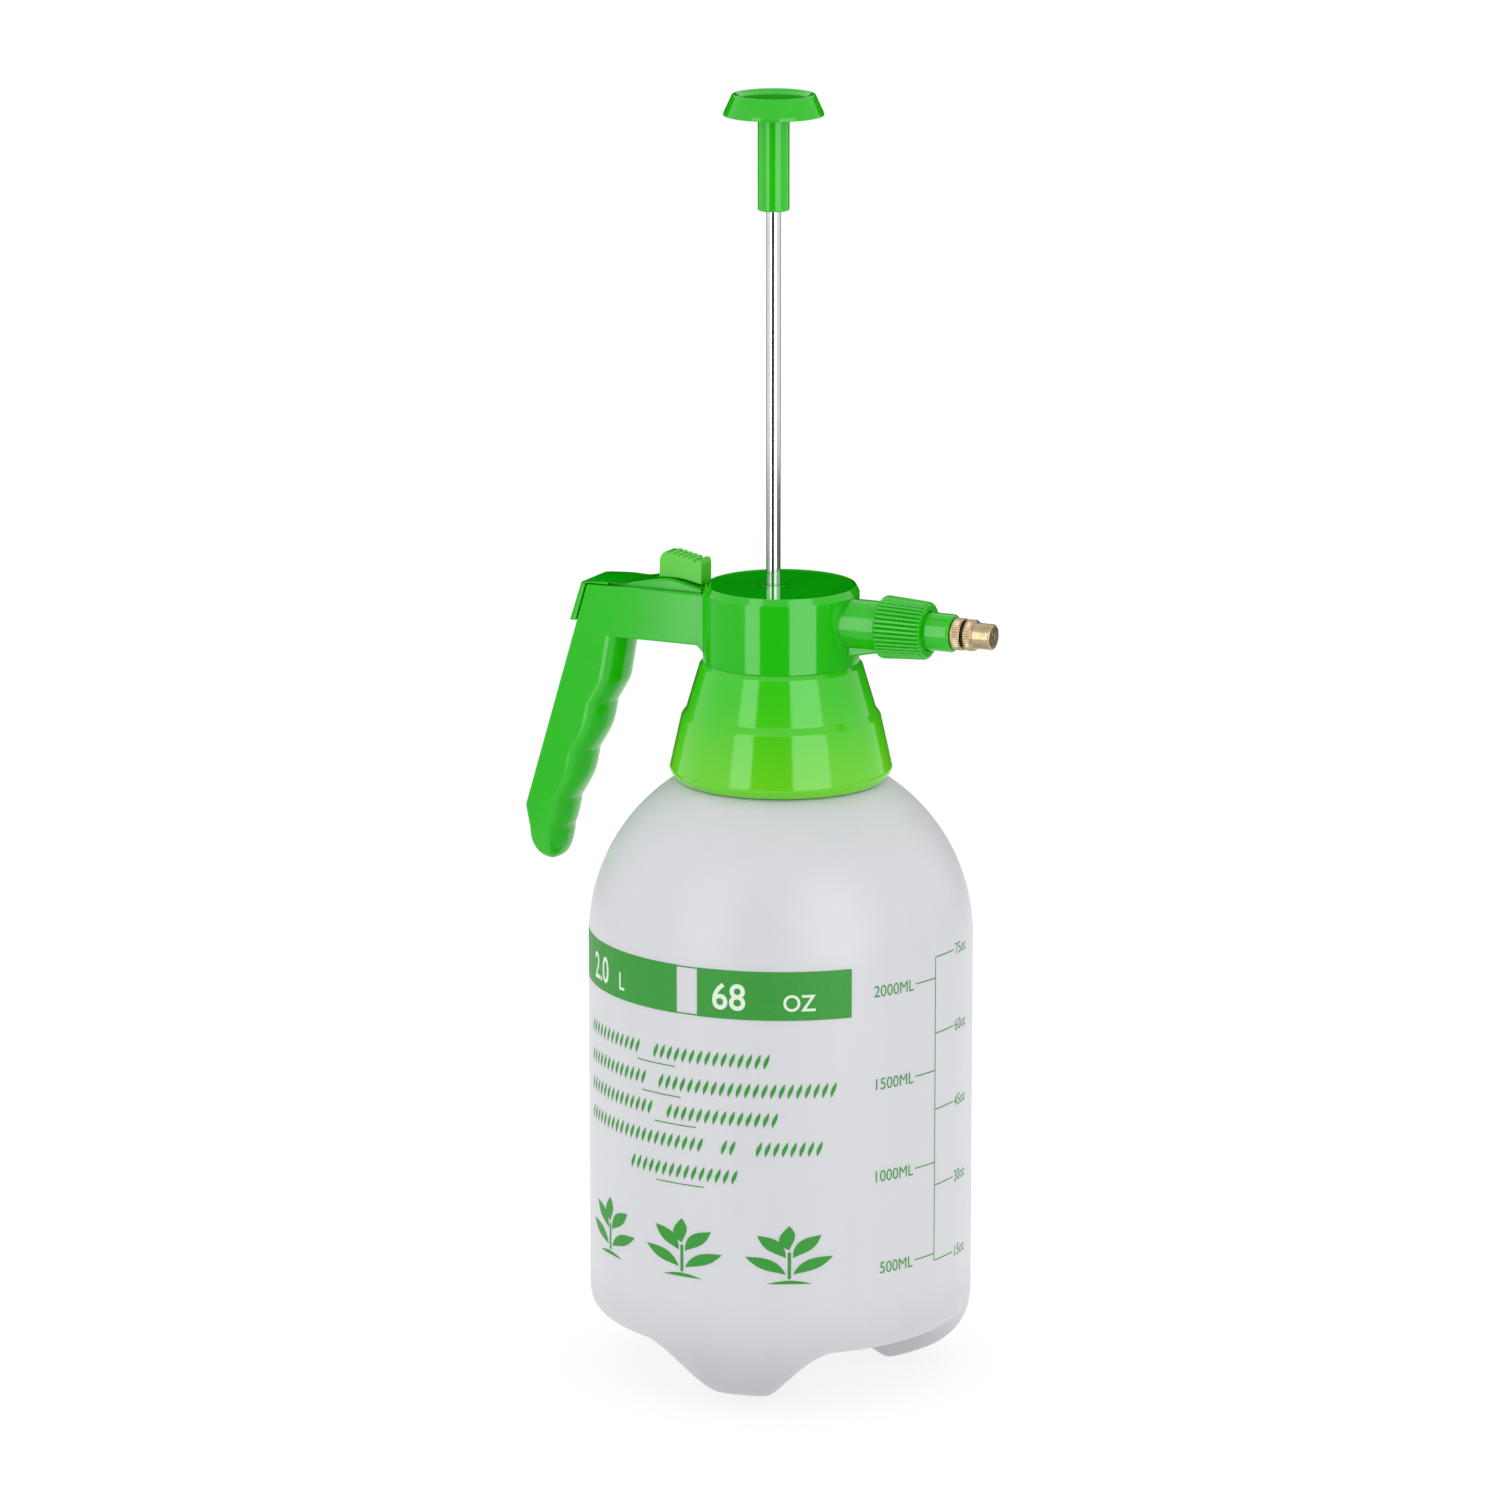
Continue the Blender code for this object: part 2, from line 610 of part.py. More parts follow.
def make_head():
    solid_bottom = COLLAR_TOP_Z + GAP
    head = turned("head_body", [
        (0, HEAD_TOP_Z), (HEAD_RADIUS - HEAD_RIM, HEAD_TOP_Z),
        (HEAD_RADIUS, HEAD_TOP_Z - 0.0024), (HEAD_RADIUS, solid_bottom),
        (SPIGOT_RADIUS, solid_bottom), (SPIGOT_RADIUS, SPIGOT_LOW), (0, SPIGOT_LOW),
    ], green, head_lift, HEAD_STEPS)

    inside_x = -HEAD_RADIUS + 0.006
    gusset = 0.003
    arm = plate("arm_solid", [
        (ARM_BACK_X, ARM_TOP_Z), (grip_back(ARM_BOTTOM_Z), ARM_BOTTOM_Z),
        (-HEAD_RADIUS - 0.0008, ARM_BOTTOM_Z),
        (-HEAD_RADIUS - 0.0008 + gusset, ARM_BOTTOM_Z - gusset),
        (inside_x, ARM_BOTTOM_Z - gusset), (inside_x, ARM_TOP_Z),
    ], ARM_WIDTH, green, head_lift, bevel=0.0006, helper=True)
    channel = block("arm_channel", (CHANNEL_BACK_X, -CHANNEL_WIDTH / 2, CHANNEL_FLOOR_Z),
                    (0, CHANNEL_WIDTH / 2, ARM_TOP_Z + 0.01), None, head_lift, True)
    cut(arm, channel, cross_bore("pin_hole", PIVOT_PIN_RADIUS + GAP / 2,
                                 2 * (PIN_HALF_LENGTH + SLIDE_GAP), PIVOT_X, PIVOT_Z,
                                 head_lift))
    grip = lofted("grip_solid", grip_slices(), green, head_lift, helper=True)
    spout = turned("spout_solid", [
        (0, 0.0), (SPOUT_RADIUS, 0.0), (SPOUT_RADIUS, SPOUT_END_X),
        (SPOUT_THREAD_RADIUS, SPOUT_END_X), (SPOUT_THREAD_RADIUS, SPOUT_TIP_X), (0, SPOUT_TIP_X),
    ], green, head_lift, ROUND_STEPS, 0, NOZZLE_Z, True, True)
    under_z = NOZZLE_Z - SPOUT_RADIUS
    rib = plate("spout_rib", [
        (HEAD_RADIUS - 0.004, under_z - 0.0024), (HEAD_RADIUS + 0.0006, under_z - 0.0024),
        (SPOUT_END_X - 0.0006, under_z - 0.0002), (SPOUT_END_X - 0.0006, NOZZLE_Z - 0.004),
        (HEAD_RADIUS - 0.004, NOZZLE_Z - 0.004),
    ], 0.008, green, head_lift, helper=True)
    join(head, arm, grip, spout, rib)

    cavity = bore("head_cavity", HEAD_CAVITY_RADIUS, SPIGOT_LOW - PAST,
                  DECK_TOP_Z - DECK_THICKNESS, head_lift, steps=HEAD_STEPS)
    recess = bore("cap_recess", HEAD_RADIUS - HEAD_RIM - GAP, DECK_TOP_Z, HEAD_TOP_Z + PAST,
                  head_lift, steps=HEAD_STEPS)
    cut(head, cavity, recess)
    riser = block("riser_solid", (-HEAD_CAVITY_RADIUS - 0.001, -RISER_HALF_WIDTH, SPIGOT_LOW),
                  (SUCTION_X + 0.0034, RISER_HALF_WIDTH, RISER_TOP_Z), green, head_lift, True)
    join(head, riser)
    cut(head,
        bore("barrel_passage", BARREL_RADIUS + GAP, DECK_TOP_Z - PAST, DECK_TOP_Z + 0.001,
             head_lift, PUMP_X, steps=ROUND_STEPS),
        turned("riser_bore", [
            (0, RISER_BORE_TOP_Z), (PASSAGE_RADIUS, RISER_BORE_TOP_Z),
            (PASSAGE_RADIUS, SPIGOT_LOW + 0.0045), (ADAPTER_RADIUS + GAP, SPIGOT_LOW + 0.0045),
            (ADAPTER_RADIUS + GAP, SPIGOT_LOW - PAST), (0, SPIGOT_LOW - PAST),
        ], None, head_lift, SMALL_STEPS, SUCTION_X, helper=True),
        bore("valve_bore", VALVE_BORE, VALVE_FLOOR_Z, CHANNEL_FLOOR_Z + PAST, head_lift, VALVE_X),
        bore("inlet_bore", INLET_RADIUS, VALVE_X, SUCTION_X + INLET_RADIUS / 2, head_lift, 0,
             INLET_Z, True, steps=12),
        bore("outlet_bore", DELIVERY_RADIUS + GAP, VALVE_X + VALVE_BORE - 0.0005,
             -HEAD_CAVITY_RADIUS + 0.002, head_lift, 0, OUTLET_Z, True),
        bore("spout_bore", SPOUT_BORE, 0.0, SPOUT_TIP_X + PAST, head_lift, 0, NOZZLE_Z, True))


def cross_bore(name, radius, length, x, z, parent):
    """A cutter along Y, centred on the arm."""
    made = bore(name, radius, -length / 2, length / 2, parent, x, z, steps=PIN_HOLE_STEPS)
    made.rotation_euler = (math.pi / 2, 0, 0)
    return made


# ---- Pump: cap, rod guide, barrel, piston and plunger

def make_pump_housing():
    cap_radius = HEAD_RADIUS - HEAD_RIM - 2 * GAP
    cap = turned("pump_cap", rod_points(cap_radius, CAP_LOW_Z, CAP_TOP_Z), dark_green,
                 head_lift, HEAD_STEPS)
    cut(cap, bore("guide_hole", GUIDE_RADIUS + GAP, CAP_LOW_Z - 0.002, CAP_TOP_Z + 0.002,
                  head_lift, PUMP_X))
    turned("rod_guide", ring_points(ROD_RADIUS + SLIDE_GAP, GUIDE_RADIUS, CAP_LOW_Z,
                                    CAP_TOP_Z), dark_green, head_lift, SMALL_STEPS, PUMP_X)
    flange = BARREL_RADIUS + BARREL_FLANGE
    turned("pump_barrel", [
        (flange, BARREL_TOP_Z), (flange, BARREL_TOP_Z - BARREL_FLANGE_THICKNESS),
        (BARREL_RADIUS, BARREL_TOP_Z - BARREL_FLANGE_THICKNESS),
        (BARREL_RADIUS, BARREL_BOTTOM_Z), (BARREL_BORE, BARREL_BOTTOM_Z),
        (BARREL_BORE, BARREL_TOP_Z),
    ], white_plastic, head_lift, ROUND_STEPS, PUMP_X)


def make_barrel_foot():
    """The foot plugs the barrel. Air leaves by its hole, past the disc, into a slotted cage."""
    hole = ROD_STUD_RADIUS
    plug_radius = BARREL_BORE - GAP
    cage_radius = CHECK_DISC_RADIUS + 0.0013
    low = BARREL_BOTTOM_Z - 0.009
    turned("barrel_foot", [
        (hole, BARREL_BOTTOM_Z + 0.003), (plug_radius, BARREL_BOTTOM_Z + 0.003),
        (plug_radius, BARREL_BOTTOM_Z - GAP), (BARREL_RADIUS, BARREL_BOTTOM_Z - GAP),
        (BARREL_RADIUS, low), (0.0040, low), (0.0040, low + 0.0015), (cage_radius, low + 0.0015),
        (cage_radius, SEAT_Z), (hole, SEAT_Z),
    ], white_plastic, head_lift, ROUND_STEPS, PUMP_X)


def make_check_valve():
    high = SEAT_Z - GAP
    turned("check_valve_disc", rod_points(CHECK_DISC_RADIUS, high - CHECK_DISC_THICKNESS, high),
           black_rubber, check_axis, SMALL_STEPS, PUMP_X)


def make_plunger():
    rod_top = KNOB_TOP_Z - KNOB_HEIGHT - 0.004
    stud_low = PISTON_TOP_Z - PISTON_LENGTH - 0.0095
    turned("plunger_rod", [
        (0, rod_top), (ROD_RADIUS, rod_top), (ROD_RADIUS, PISTON_TOP_Z + GAP),
        (ROD_STUD_RADIUS, PISTON_TOP_Z + GAP), (ROD_STUD_RADIUS, stud_low), (0, stud_low),
    ], steel, pump_axis, SMALL_STEPS, PUMP_X)
    socket = ROD_RADIUS + GAP
    disc_low = KNOB_TOP_Z - KNOB_HEIGHT
    turned("plunger_knob", [
        (0, KNOB_TOP_Z - 0.0012), (KNOB_TOP_RADIUS - 0.0022, KNOB_TOP_Z - 0.0010),
        (KNOB_TOP_RADIUS - 0.0012, KNOB_TOP_Z), (KNOB_TOP_RADIUS - 0.0003, KNOB_TOP_Z),
        (KNOB_TOP_RADIUS, KNOB_TOP_Z - 0.0004),
        (KNOB_RADIUS, disc_low + 0.0006), (KNOB_RADIUS - 0.0003, disc_low),
        (STEM_RADIUS + 0.0006, disc_low),
        (STEM_RADIUS, disc_low - 0.0006), (STEM_RADIUS, STEM_LOW_Z + 0.0004),
        (STEM_RADIUS - 0.0004, STEM_LOW_Z), (socket, STEM_LOW_Z), (socket, rod_top + GAP),
        (0, rod_top + GAP),
    ], green, pump_axis, ROUND_STEPS, PUMP_X)
    hole = ROD_STUD_RADIUS + GAP
    low = PISTON_TOP_Z - PISTON_LENGTH
    turned("piston", [
        (PISTON_RADIUS, PISTON_TOP_Z), (PISTON_RADIUS, PISTON_TOP_Z - 0.003),
        (PISTON_RADIUS - 0.002, PISTON_TOP_Z - 0.0035), (PISTON_RADIUS - 0.002, low + 0.0025),
        (PISTON_RADIUS, low + 0.002), (PISTON_RADIUS, low), (hole, low), (hole, PISTON_TOP_Z),
    ], white_plastic, pump_axis, SMALL_STEPS, PUMP_X)
    seal_top = low - GAP
    turned("piston_cup_seal", [
        (PISTON_RADIUS, seal_top), (PISTON_RADIUS + SLIDE_GAP, seal_top - CUP_LENGTH),
        (PISTON_RADIUS - 0.0014, seal_top - CUP_LENGTH), (PISTON_RADIUS - 0.002, seal_top - CUP_WEB),
        (hole, seal_top - CUP_WEB), (hole, seal_top),
    ], black_rubber, pump_axis, SMALL_STEPS, PUMP_X)
    nut_top = seal_top - CUP_WEB - GAP
    turned("piston_nut", ring_points(hole, 0.0042, nut_top - 0.0045, nut_top), steel,
           pump_axis, 6, PUMP_X)


# ---- Suction line: adapter, dip tube and filter

def make_suction_line():
    flange_high = SEAL_PLATE_LOW - GAP
    turned("tube_adapter", [
        (ADAPTER_RADIUS, SPIGOT_LOW + 0.004), (ADAPTER_RADIUS, flange_high),
        (ADAPTER_FLANGE, flange_high), (ADAPTER_FLANGE, ADAPTER_FLANGE_LOW),
        (BARB_RADIUS, ADAPTER_FLANGE_LOW), (BARB_RADIUS, ADAPTER_FLANGE_LOW - 0.008),
        (0.0010, ADAPTER_FLANGE_LOW - 0.008), (0.0010, SPIGOT_LOW + 0.004),
    ], white_plastic, head_lift, SMALL_STEPS, SUCTION_X)
    turned("dip_tube", ring_points(TUBE_RADIUS - TUBE_WALL, TUBE_RADIUS, DIP_BOTTOM_Z,
                                   ADAPTER_FLANGE_LOW - GAP),
           clear_plastic, head_lift, SMALL_STEPS, SUCTION_X)
    sleeve = TUBE_RADIUS + GAP
    filter_top = FILTER_BOTTOM_Z + FILTER_LENGTH
    dip_filter = turned("dip_filter", [
        (FILTER_RADIUS, filter_top), (FILTER_RADIUS, FILTER_BOTTOM_Z + 0.0008),
        (FILTER_RADIUS - 0.0008, FILTER_BOTTOM_Z), (0, FILTER_BOTTOM_Z),
        (0, FILTER_BOTTOM_Z + 0.0012), (TUBE_RADIUS - 0.0005, FILTER_BOTTOM_Z + 0.0012),
        (TUBE_RADIUS - 0.0005, DIP_BOTTOM_Z - GAP), (sleeve, DIP_BOTTOM_Z - GAP),
        (sleeve, filter_top),
    ], white_plastic, head_lift, SMALL_STEPS, SUCTION_X)
    slot_low = FILTER_BOTTOM_Z + 0.0018
    slot_high = slot_low + 0.0014
    for i, (reach_x, reach_y) in enumerate(((PAST, FILTER_SLOT), (FILTER_SLOT, PAST))):
        cut(dip_filter, block(f"filter_slot_{i}", (SUCTION_X - reach_x, -reach_y, slot_low),
                              (SUCTION_X + reach_x, reach_y, slot_high), None, head_lift, True))


# ---- Trigger valve in the arm, and the tube that takes the liquid round to the spout

def make_valve():
    bush = turned("valve_bush", [
        (VALVE_BORE - GAP, BUSH_LOW_Z), (VALVE_BORE - GAP, CHANNEL_FLOOR_Z + GAP),
        (VALVE_BORE + 0.0012, CHANNEL_FLOOR_Z + GAP), (VALVE_BORE + 0.0012, BUSH_HIGH_Z),
        (VALVE_STEM_RADIUS + SLIDE_GAP, BUSH_HIGH_Z),
        (VALVE_STEM_RADIUS + SLIDE_GAP, BUSH_BORE_TOP_Z + GAP),
        (BUSH_BORE, BUSH_BORE_TOP_Z), (BUSH_BORE, BUSH_LOW_Z),
    ], brass, head_lift, SMALL_STEPS, VALVE_X)
    cut(bush, bore("bush_port", PASSAGE_RADIUS, VALVE_X, VALVE_X + 0.006, head_lift, 0,
                   OUTLET_Z, True, steps=12))
    disc_top = BUSH_LOW_Z - GAP
    disc_low = disc_top - 0.0010
    turned("valve_stem", [
        (0, STEM_HEAD_Z + STEM_HEAD_HEIGHT), (VALVE_HEAD_RADIUS, STEM_HEAD_Z + STEM_HEAD_HEIGHT),
        (VALVE_HEAD_RADIUS, STEM_HEAD_Z), (VALVE_STEM_RADIUS, STEM_HEAD_Z),
        (VALVE_STEM_RADIUS, disc_low), (0, disc_low),
    ], brass, valve_axis, SMALL_STEPS, VALVE_X)
    turned("valve_disc", ring_points(VALVE_STEM_RADIUS + GAP / 2, VALVE_HEAD_RADIUS, disc_low,
                                     disc_top), black_rubber, valve_axis, SMALL_STEPS, VALVE_X)
    per_turn = 12
    count = SPRING_TURNS * per_turn
    low = BUSH_HIGH_Z + GAP + SPRING_WIRE_RADIUS
    high = STEM_HEAD_Z - GAP - SPRING_WIRE_RADIUS
    coil = []
    for i in range(count + 1):
        turn = math.tau * i / per_turn
        x = VALVE_X + SPRING_RADIUS * math.cos(turn)
        coil.append((x, SPRING_RADIUS * math.sin(turn), low + (high - low) * i / count))
    tube_mesh("valve_spring", coil, SPRING_WIRE_RADIUS, 2, steel, head_lift)


def delivery_path():
    """From the valve's outlet, round the barrel inside the head, to behind the spout."""
    lane = (HEAD_CAVITY_RADIUS + BARREL_RADIUS - PUMP_X) / 2 - 0.0007
    path = [(VALVE_X + VALVE_BORE + 0.0006, 0.0, OUTLET_Z),
            (-HEAD_CAVITY_RADIUS + 0.0009, 0.0, OUTLET_Z)]
    steps = 14
    first = math.radians(160)
    last = math.radians(12)
    for i in range(steps + 1):
        share = i / steps
        turn = first + (last - first) * share
        side = math.sin(turn)
        height = OUTLET_Z + (NOZZLE_Z - OUTLET_Z) * share
        path.append(((lane + 0.0012) * math.cos(turn), lane * side, height))
    path.append((HEAD_CAVITY_RADIUS - 0.0040, 0.0006, NOZZLE_Z))
    path.append((HEAD_CAVITY_RADIUS + 0.0010, 0.0, NOZZLE_Z))
    return path


def make_delivery_tube():
    tube_mesh("delivery_tube", delivery_path(), DELIVERY_RADIUS, 2, clear_plastic, head_lift)


# ---- Trigger lever, its pin and the ribbed thumb slide

def lever_top(x):
    """Height of the lever's upper line: a low rear and a crest below the thumb slide."""
    rear = LEVER_REAR_RISE * math.exp(-(((x - PIVOT_X + 0.002) / 0.009) ** 2))
    crest = LEVER_CREST_RISE * math.exp(-(((x - LEVER_CREST_X) / LEVER_CREST_WIDTH) ** 2))
    return ARM_TOP_Z + SLIDE_GAP + rear + crest


def top_points(first, last, steps):
    line = [first + (last - first) * i / steps for i in range(steps + 1)]
    return [(x, lever_top(x)) for x in line]


def make_lever():
    tail_x = ARM_BACK_X - 0.0002
    back_x = CHANNEL_BACK_X + TRIGGER_GAP
    front_x = -LEVER_FRONT_RADIUS + 0.0030
    front = plate("trigger_lever", top_points(back_x, front_x, 16) + [
        (front_x, LEVER_UNDER_Z), (back_x, LEVER_UNDER_Z)], LEVER_WIDTH, green, trigger_axis)
    under = ARM_TOP_Z + GAP
    rear = PIVOT_X - 0.0005
    rear_part = plate("lever_tail", [
        (grip_back(TAIL_LOW_Z) - TRIGGER_GAP, TAIL_LOW_Z),
        (grip_back(TAIL_LOW_Z) - TRIGGER_GAP - TAIL_THICKNESS, TAIL_LOW_Z),
        (grip_back(under) - TRIGGER_GAP - 0.8 * TAIL_THICKNESS, under + SLIDE_GAP),
    ] + top_points(tail_x, rear, 6) + [(rear, under), (grip_back(under) - TRIGGER_GAP, under)],
        ARM_WIDTH, green, trigger_axis, helper=True)
    lug = turned("lever_lug", rod_points(LUG_RADIUS, -LUG_HALF_WIDTH, LUG_HALF_WIDTH), green,
                 trigger_axis, SMALL_STEPS, PIVOT_X, PIVOT_Z, helper=True)
    lug.rotation_euler = (math.pi / 2, 0, 0)
    web = block("lever_web", (PIVOT_X - 0.0030, -LUG_HALF_WIDTH, PIVOT_Z),
                (PIVOT_X + 0.0030, LUG_HALF_WIDTH, LEVER_UNDER_Z + GAP), green, trigger_axis,
                True)
    join(front, rear_part, web, lug)
    end = turned("lever_end_clearance",
                 rod_points(LEVER_FRONT_RADIUS, LEVER_UNDER_Z - PAST, THUMB_TOP_Z), None,
                 trigger_axis, HEAD_STEPS, helper=True)
    cut(front,
        cross_bore("lever_pin_hole", PIVOT_PIN_RADIUS + SLIDE_GAP, 0.03, PIVOT_X, PIVOT_Z,
                   trigger_axis),
        block("thumb_slot", (THUMB_BACK_X + 0.002 - LOCK_TRAVEL - GAP, -SLOT_HALF,
                             LEVER_UNDER_Z - PAST),
              (THUMB_FRONT_X - 0.002 + GAP, SLOT_HALF, THUMB_TOP_Z), None, trigger_axis, True),
        end)
    pin = turned("lever_pin", rod_points(PIVOT_PIN_RADIUS, -PIN_HALF_LENGTH,
                                         PIN_HALF_LENGTH), steel, head_lift, SMALL_STEPS,
                 PIVOT_X, PIVOT_Z)
    pin.rotation_euler = (math.pi / 2, 0, 0)


def thumb_seat(x):
    """The slide's underside: it clears the lever's crest all along its travel."""
    return max(lever_top(x), lever_top(x - LOCK_TRAVEL)) + GAP


def make_thumb_slide():
    """The block rides over the lever's crest. Its foot passes through the lever's slot."""
    front_z = THUMB_TOP_Z - THUMB_TOP_DROP
    ribs = []
    first_x = THUMB_BACK_X + 0.0042
    for i in range(THUMB_RIBS):
        x = first_x + i * THUMB_RIB_PITCH
        z = THUMB_TOP_Z - 0.0004 - THUMB_TOP_DROP * (x - first_x) / 0.011
        ribs += [(x, z - 0.0005), (x + 0.0004, z), (x + 0.0011, z), (x + 0.0015, z - 0.0005)]
    steps = 5
    length = THUMB_FRONT_X - THUMB_BACK_X
    seats = [THUMB_FRONT_X - length * i / steps for i in range(steps + 1)]
    outline = [
        (THUMB_BACK_X + 0.0005, THUMB_TOP_Z - 0.0026), (THUMB_BACK_X + 0.0012, THUMB_TOP_Z - 0.0011),
        (THUMB_BACK_X + 0.0026, THUMB_TOP_Z - 0.0005),
    ] + ribs + [(THUMB_FRONT_X - 0.0022, front_z - 0.0004), (THUMB_FRONT_X - 0.0016, front_z),
                (THUMB_FRONT_X - 0.0006, front_z), (THUMB_FRONT_X, front_z - 0.0010),
                ] + [(x, thumb_seat(x)) for x in seats]
    slide = plate("thumb_slide", outline, THUMB_WIDTH, green, lock_axis)
    foot_high = lever_top(LEVER_CREST_X) + 0.001
    foot = block("thumb_foot", (THUMB_BACK_X + 0.002, -SLOT_HALF + GAP, LEVER_UNDER_Z + 2 * GAP),
                 (THUMB_FRONT_X - 0.002, SLOT_HALF - GAP, foot_high), green, lock_axis, True)
    join(slide, foot)


# ---- Spray end: coupling nut, tube, seals and the brass nozzle

def make_coupling_nut():
    """Ribs run along the nut, and its front rounds in to the tube."""
    front_hole = NOZZLE_TUBE_RADIUS + GAP
    shoulder = NUT_END_X - NUT_ROUND
    smooth_radius = NUT_FRONT_RADIUS - 0.0003
    rows = [(NUT_START_X, NUT_RADIUS - 0.0007, 0.0), (NUT_START_X + 0.0007, NUT_RADIUS, 1.0),
            (shoulder - 0.0004, NUT_FRONT_RADIUS, 1.0), (shoulder, smooth_radius, 0.0)]
    round_r = smooth_radius - front_hole - 0.0006
    for i in range(1, 5):
        turn = math.pi / 2 * i / 4
        rows.append((shoulder + NUT_ROUND * math.sin(turn),
                     smooth_radius - round_r * (1 - math.cos(turn)), 0.0))
    inner = [(NUT_END_X, front_hole, 0.0), (TUBE_FLANGE_END_X + GAP, front_hole, 0.0),
             (TUBE_FLANGE_END_X + GAP, NUT_BORE, 0.0), (NUT_START_X, NUT_BORE, 0.0)]
    rings = []
    per_rib = 2
    count = NUT_RIBS * per_rib
    for x, r, ribbed in rows + inner:
        ring = []
        for i in range(count):
            turn = math.tau * i / count
            deep = r - NUT_RIB_DEPTH * ribbed * (i % per_rib)
            ring.append((x, deep * math.cos(turn), NOZZLE_Z + deep * math.sin(turn)))
        rings.append(ring)
    lofted("coupling_nut", rings, green, nut_axis, caps=False, around=True)


def make_nozzle():
    turned("nozzle_seal", ring_points(SPOUT_BORE, SPOUT_THREAD_RADIUS, SEAL_X,
                                      SEAL_X + SEAL_THICKNESS),
           black_rubber, head_lift, SMALL_STEPS, 0, NOZZLE_Z, True)
    end = NOZZLE_TUBE_END_X
    turned("nozzle_tube", [
        (SPOUT_THREAD_RADIUS, TUBE_FLANGE_X), (SPOUT_THREAD_RADIUS, TUBE_FLANGE_END_X),
        (NOZZLE_TUBE_RADIUS, TUBE_FLANGE_END_X), (NOZZLE_TUBE_RADIUS, end - 0.0009),
        (NOZZLE_TUBE_RADIUS - 0.0009, end), (BRASS_SOCKET, end),
        (BRASS_SOCKET, BRASS_START_X - GAP), (NOZZLE_TUBE_BORE, BRASS_START_X - GAP),
        (NOZZLE_TUBE_BORE, TUBE_FLANGE_X),
    ], green, head_lift, ROUND_STEPS, 0, NOZZLE_Z, True)
    stud = CAP_STUD_RADIUS
    turned("nozzle_body", [
        (BRASS_SOCKET - GAP, BRASS_START_X), (BRASS_SOCKET - GAP, end + GAP),
        (BRASS_RADIUS, end + GAP), (BRASS_RADIUS, BRASS_GROOVE_X),
        (O_RING_SEAT, BRASS_GROOVE_X), (O_RING_SEAT, BRASS_GROOVE_X + 0.0010),
        (stud, BRASS_GROOVE_X + 0.0010), (stud, NOZZLE_END_X - 0.0034),
        (BRASS_BORE, NOZZLE_END_X - 0.0024), (BRASS_BORE, BRASS_START_X),
    ], brass, head_lift, SMALL_STEPS, 0, NOZZLE_Z, True)
    ring_radius = 0.0003
    centre_r = O_RING_SEAT + GAP + ring_radius
    centre_x = BRASS_GROOVE_X + GAP + ring_radius
    turned("nozzle_o_ring", [
        (centre_r + ring_radius * math.cos(math.tau * i / 8),
         centre_x + ring_radius * math.sin(math.tau * i / 8)) for i in range(8)],
        black_rubber, head_lift, SMALL_STEPS, 0, NOZZLE_Z, True)
    start = BRASS_GROOVE_X + 0.0011 + GAP / 2
    turned("nozzle_cap", [
        (CAP_RING_RADIUS, start), (CAP_RING_RADIUS, CAP_RING_END_X),
        (CAP_TIP_RADIUS, CAP_RING_END_X + 0.0003), (CAP_TIP_RADIUS, NOZZLE_END_X - 0.0007),
        (CAP_TIP_RADIUS - 0.0007, NOZZLE_END_X), (0.0006, NOZZLE_END_X),
        (0.0006, NOZZLE_END_X - 0.0012), (O_RING_SEAT, NOZZLE_END_X - 0.0021),
        (O_RING_SEAT, start),
    ], brass, nozzle_cap_axis, ROUND_STEPS, 0, NOZZLE_Z, True)


make_bottle()
make_collar()
make_neck_seals()
make_head()
make_pump_housing()
make_barrel_foot()
make_check_valve()
make_plunger()
make_suction_line()
make_valve()
make_delivery_tube()
make_lever()
make_thumb_slide()
make_coupling_nut()
make_nozzle()
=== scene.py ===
import math

import bmesh
import bpy
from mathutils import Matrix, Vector


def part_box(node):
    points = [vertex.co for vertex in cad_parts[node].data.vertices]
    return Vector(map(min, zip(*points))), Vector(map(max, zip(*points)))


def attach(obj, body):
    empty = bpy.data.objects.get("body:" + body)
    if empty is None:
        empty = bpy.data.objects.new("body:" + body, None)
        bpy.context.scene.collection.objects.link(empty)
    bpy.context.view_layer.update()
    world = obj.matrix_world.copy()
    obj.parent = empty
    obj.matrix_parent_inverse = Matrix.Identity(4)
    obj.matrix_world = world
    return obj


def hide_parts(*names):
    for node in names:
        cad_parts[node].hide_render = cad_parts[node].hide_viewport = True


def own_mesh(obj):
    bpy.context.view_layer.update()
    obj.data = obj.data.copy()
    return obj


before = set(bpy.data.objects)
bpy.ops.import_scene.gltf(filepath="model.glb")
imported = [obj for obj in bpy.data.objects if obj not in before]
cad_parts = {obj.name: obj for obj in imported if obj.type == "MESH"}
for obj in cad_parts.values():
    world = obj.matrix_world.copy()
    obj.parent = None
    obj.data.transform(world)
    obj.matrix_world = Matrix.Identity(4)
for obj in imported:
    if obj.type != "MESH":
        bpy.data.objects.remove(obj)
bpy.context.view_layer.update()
print("frame loaded:", len(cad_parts), "nodes")

# every size below is in millimetres; x and y are measured from the bottle's own axis
mm = 0.001
collarLow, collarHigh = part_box("screw_collar")
axisX = (collarLow.x + collarHigh.x) / 2

pieces = bpy.data.collections.new("pump sprayer")
studio = bpy.data.collections.new("studio")
bpy.context.scene.collection.children.link(pieces)
bpy.context.scene.collection.children.link(studio)


def span(node):
    # lowest and highest corner of a CAD node, in millimetres from the bottle's axis
    low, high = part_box(node)
    shift = Vector((axisX, 0, 0))
    return (low - shift) / mm, (high - shift) / mm


# ---- nodes and colours

def toLinear(hexColour):
    values = []
    for start in (1, 3, 5):
        value = int(hexColour[start:start + 2], 16) / 255
        values.append(value / 12.92 if value <= 0.04045 else ((value + 0.055) / 1.055) ** 2.4)
    return (*values, 1.0)


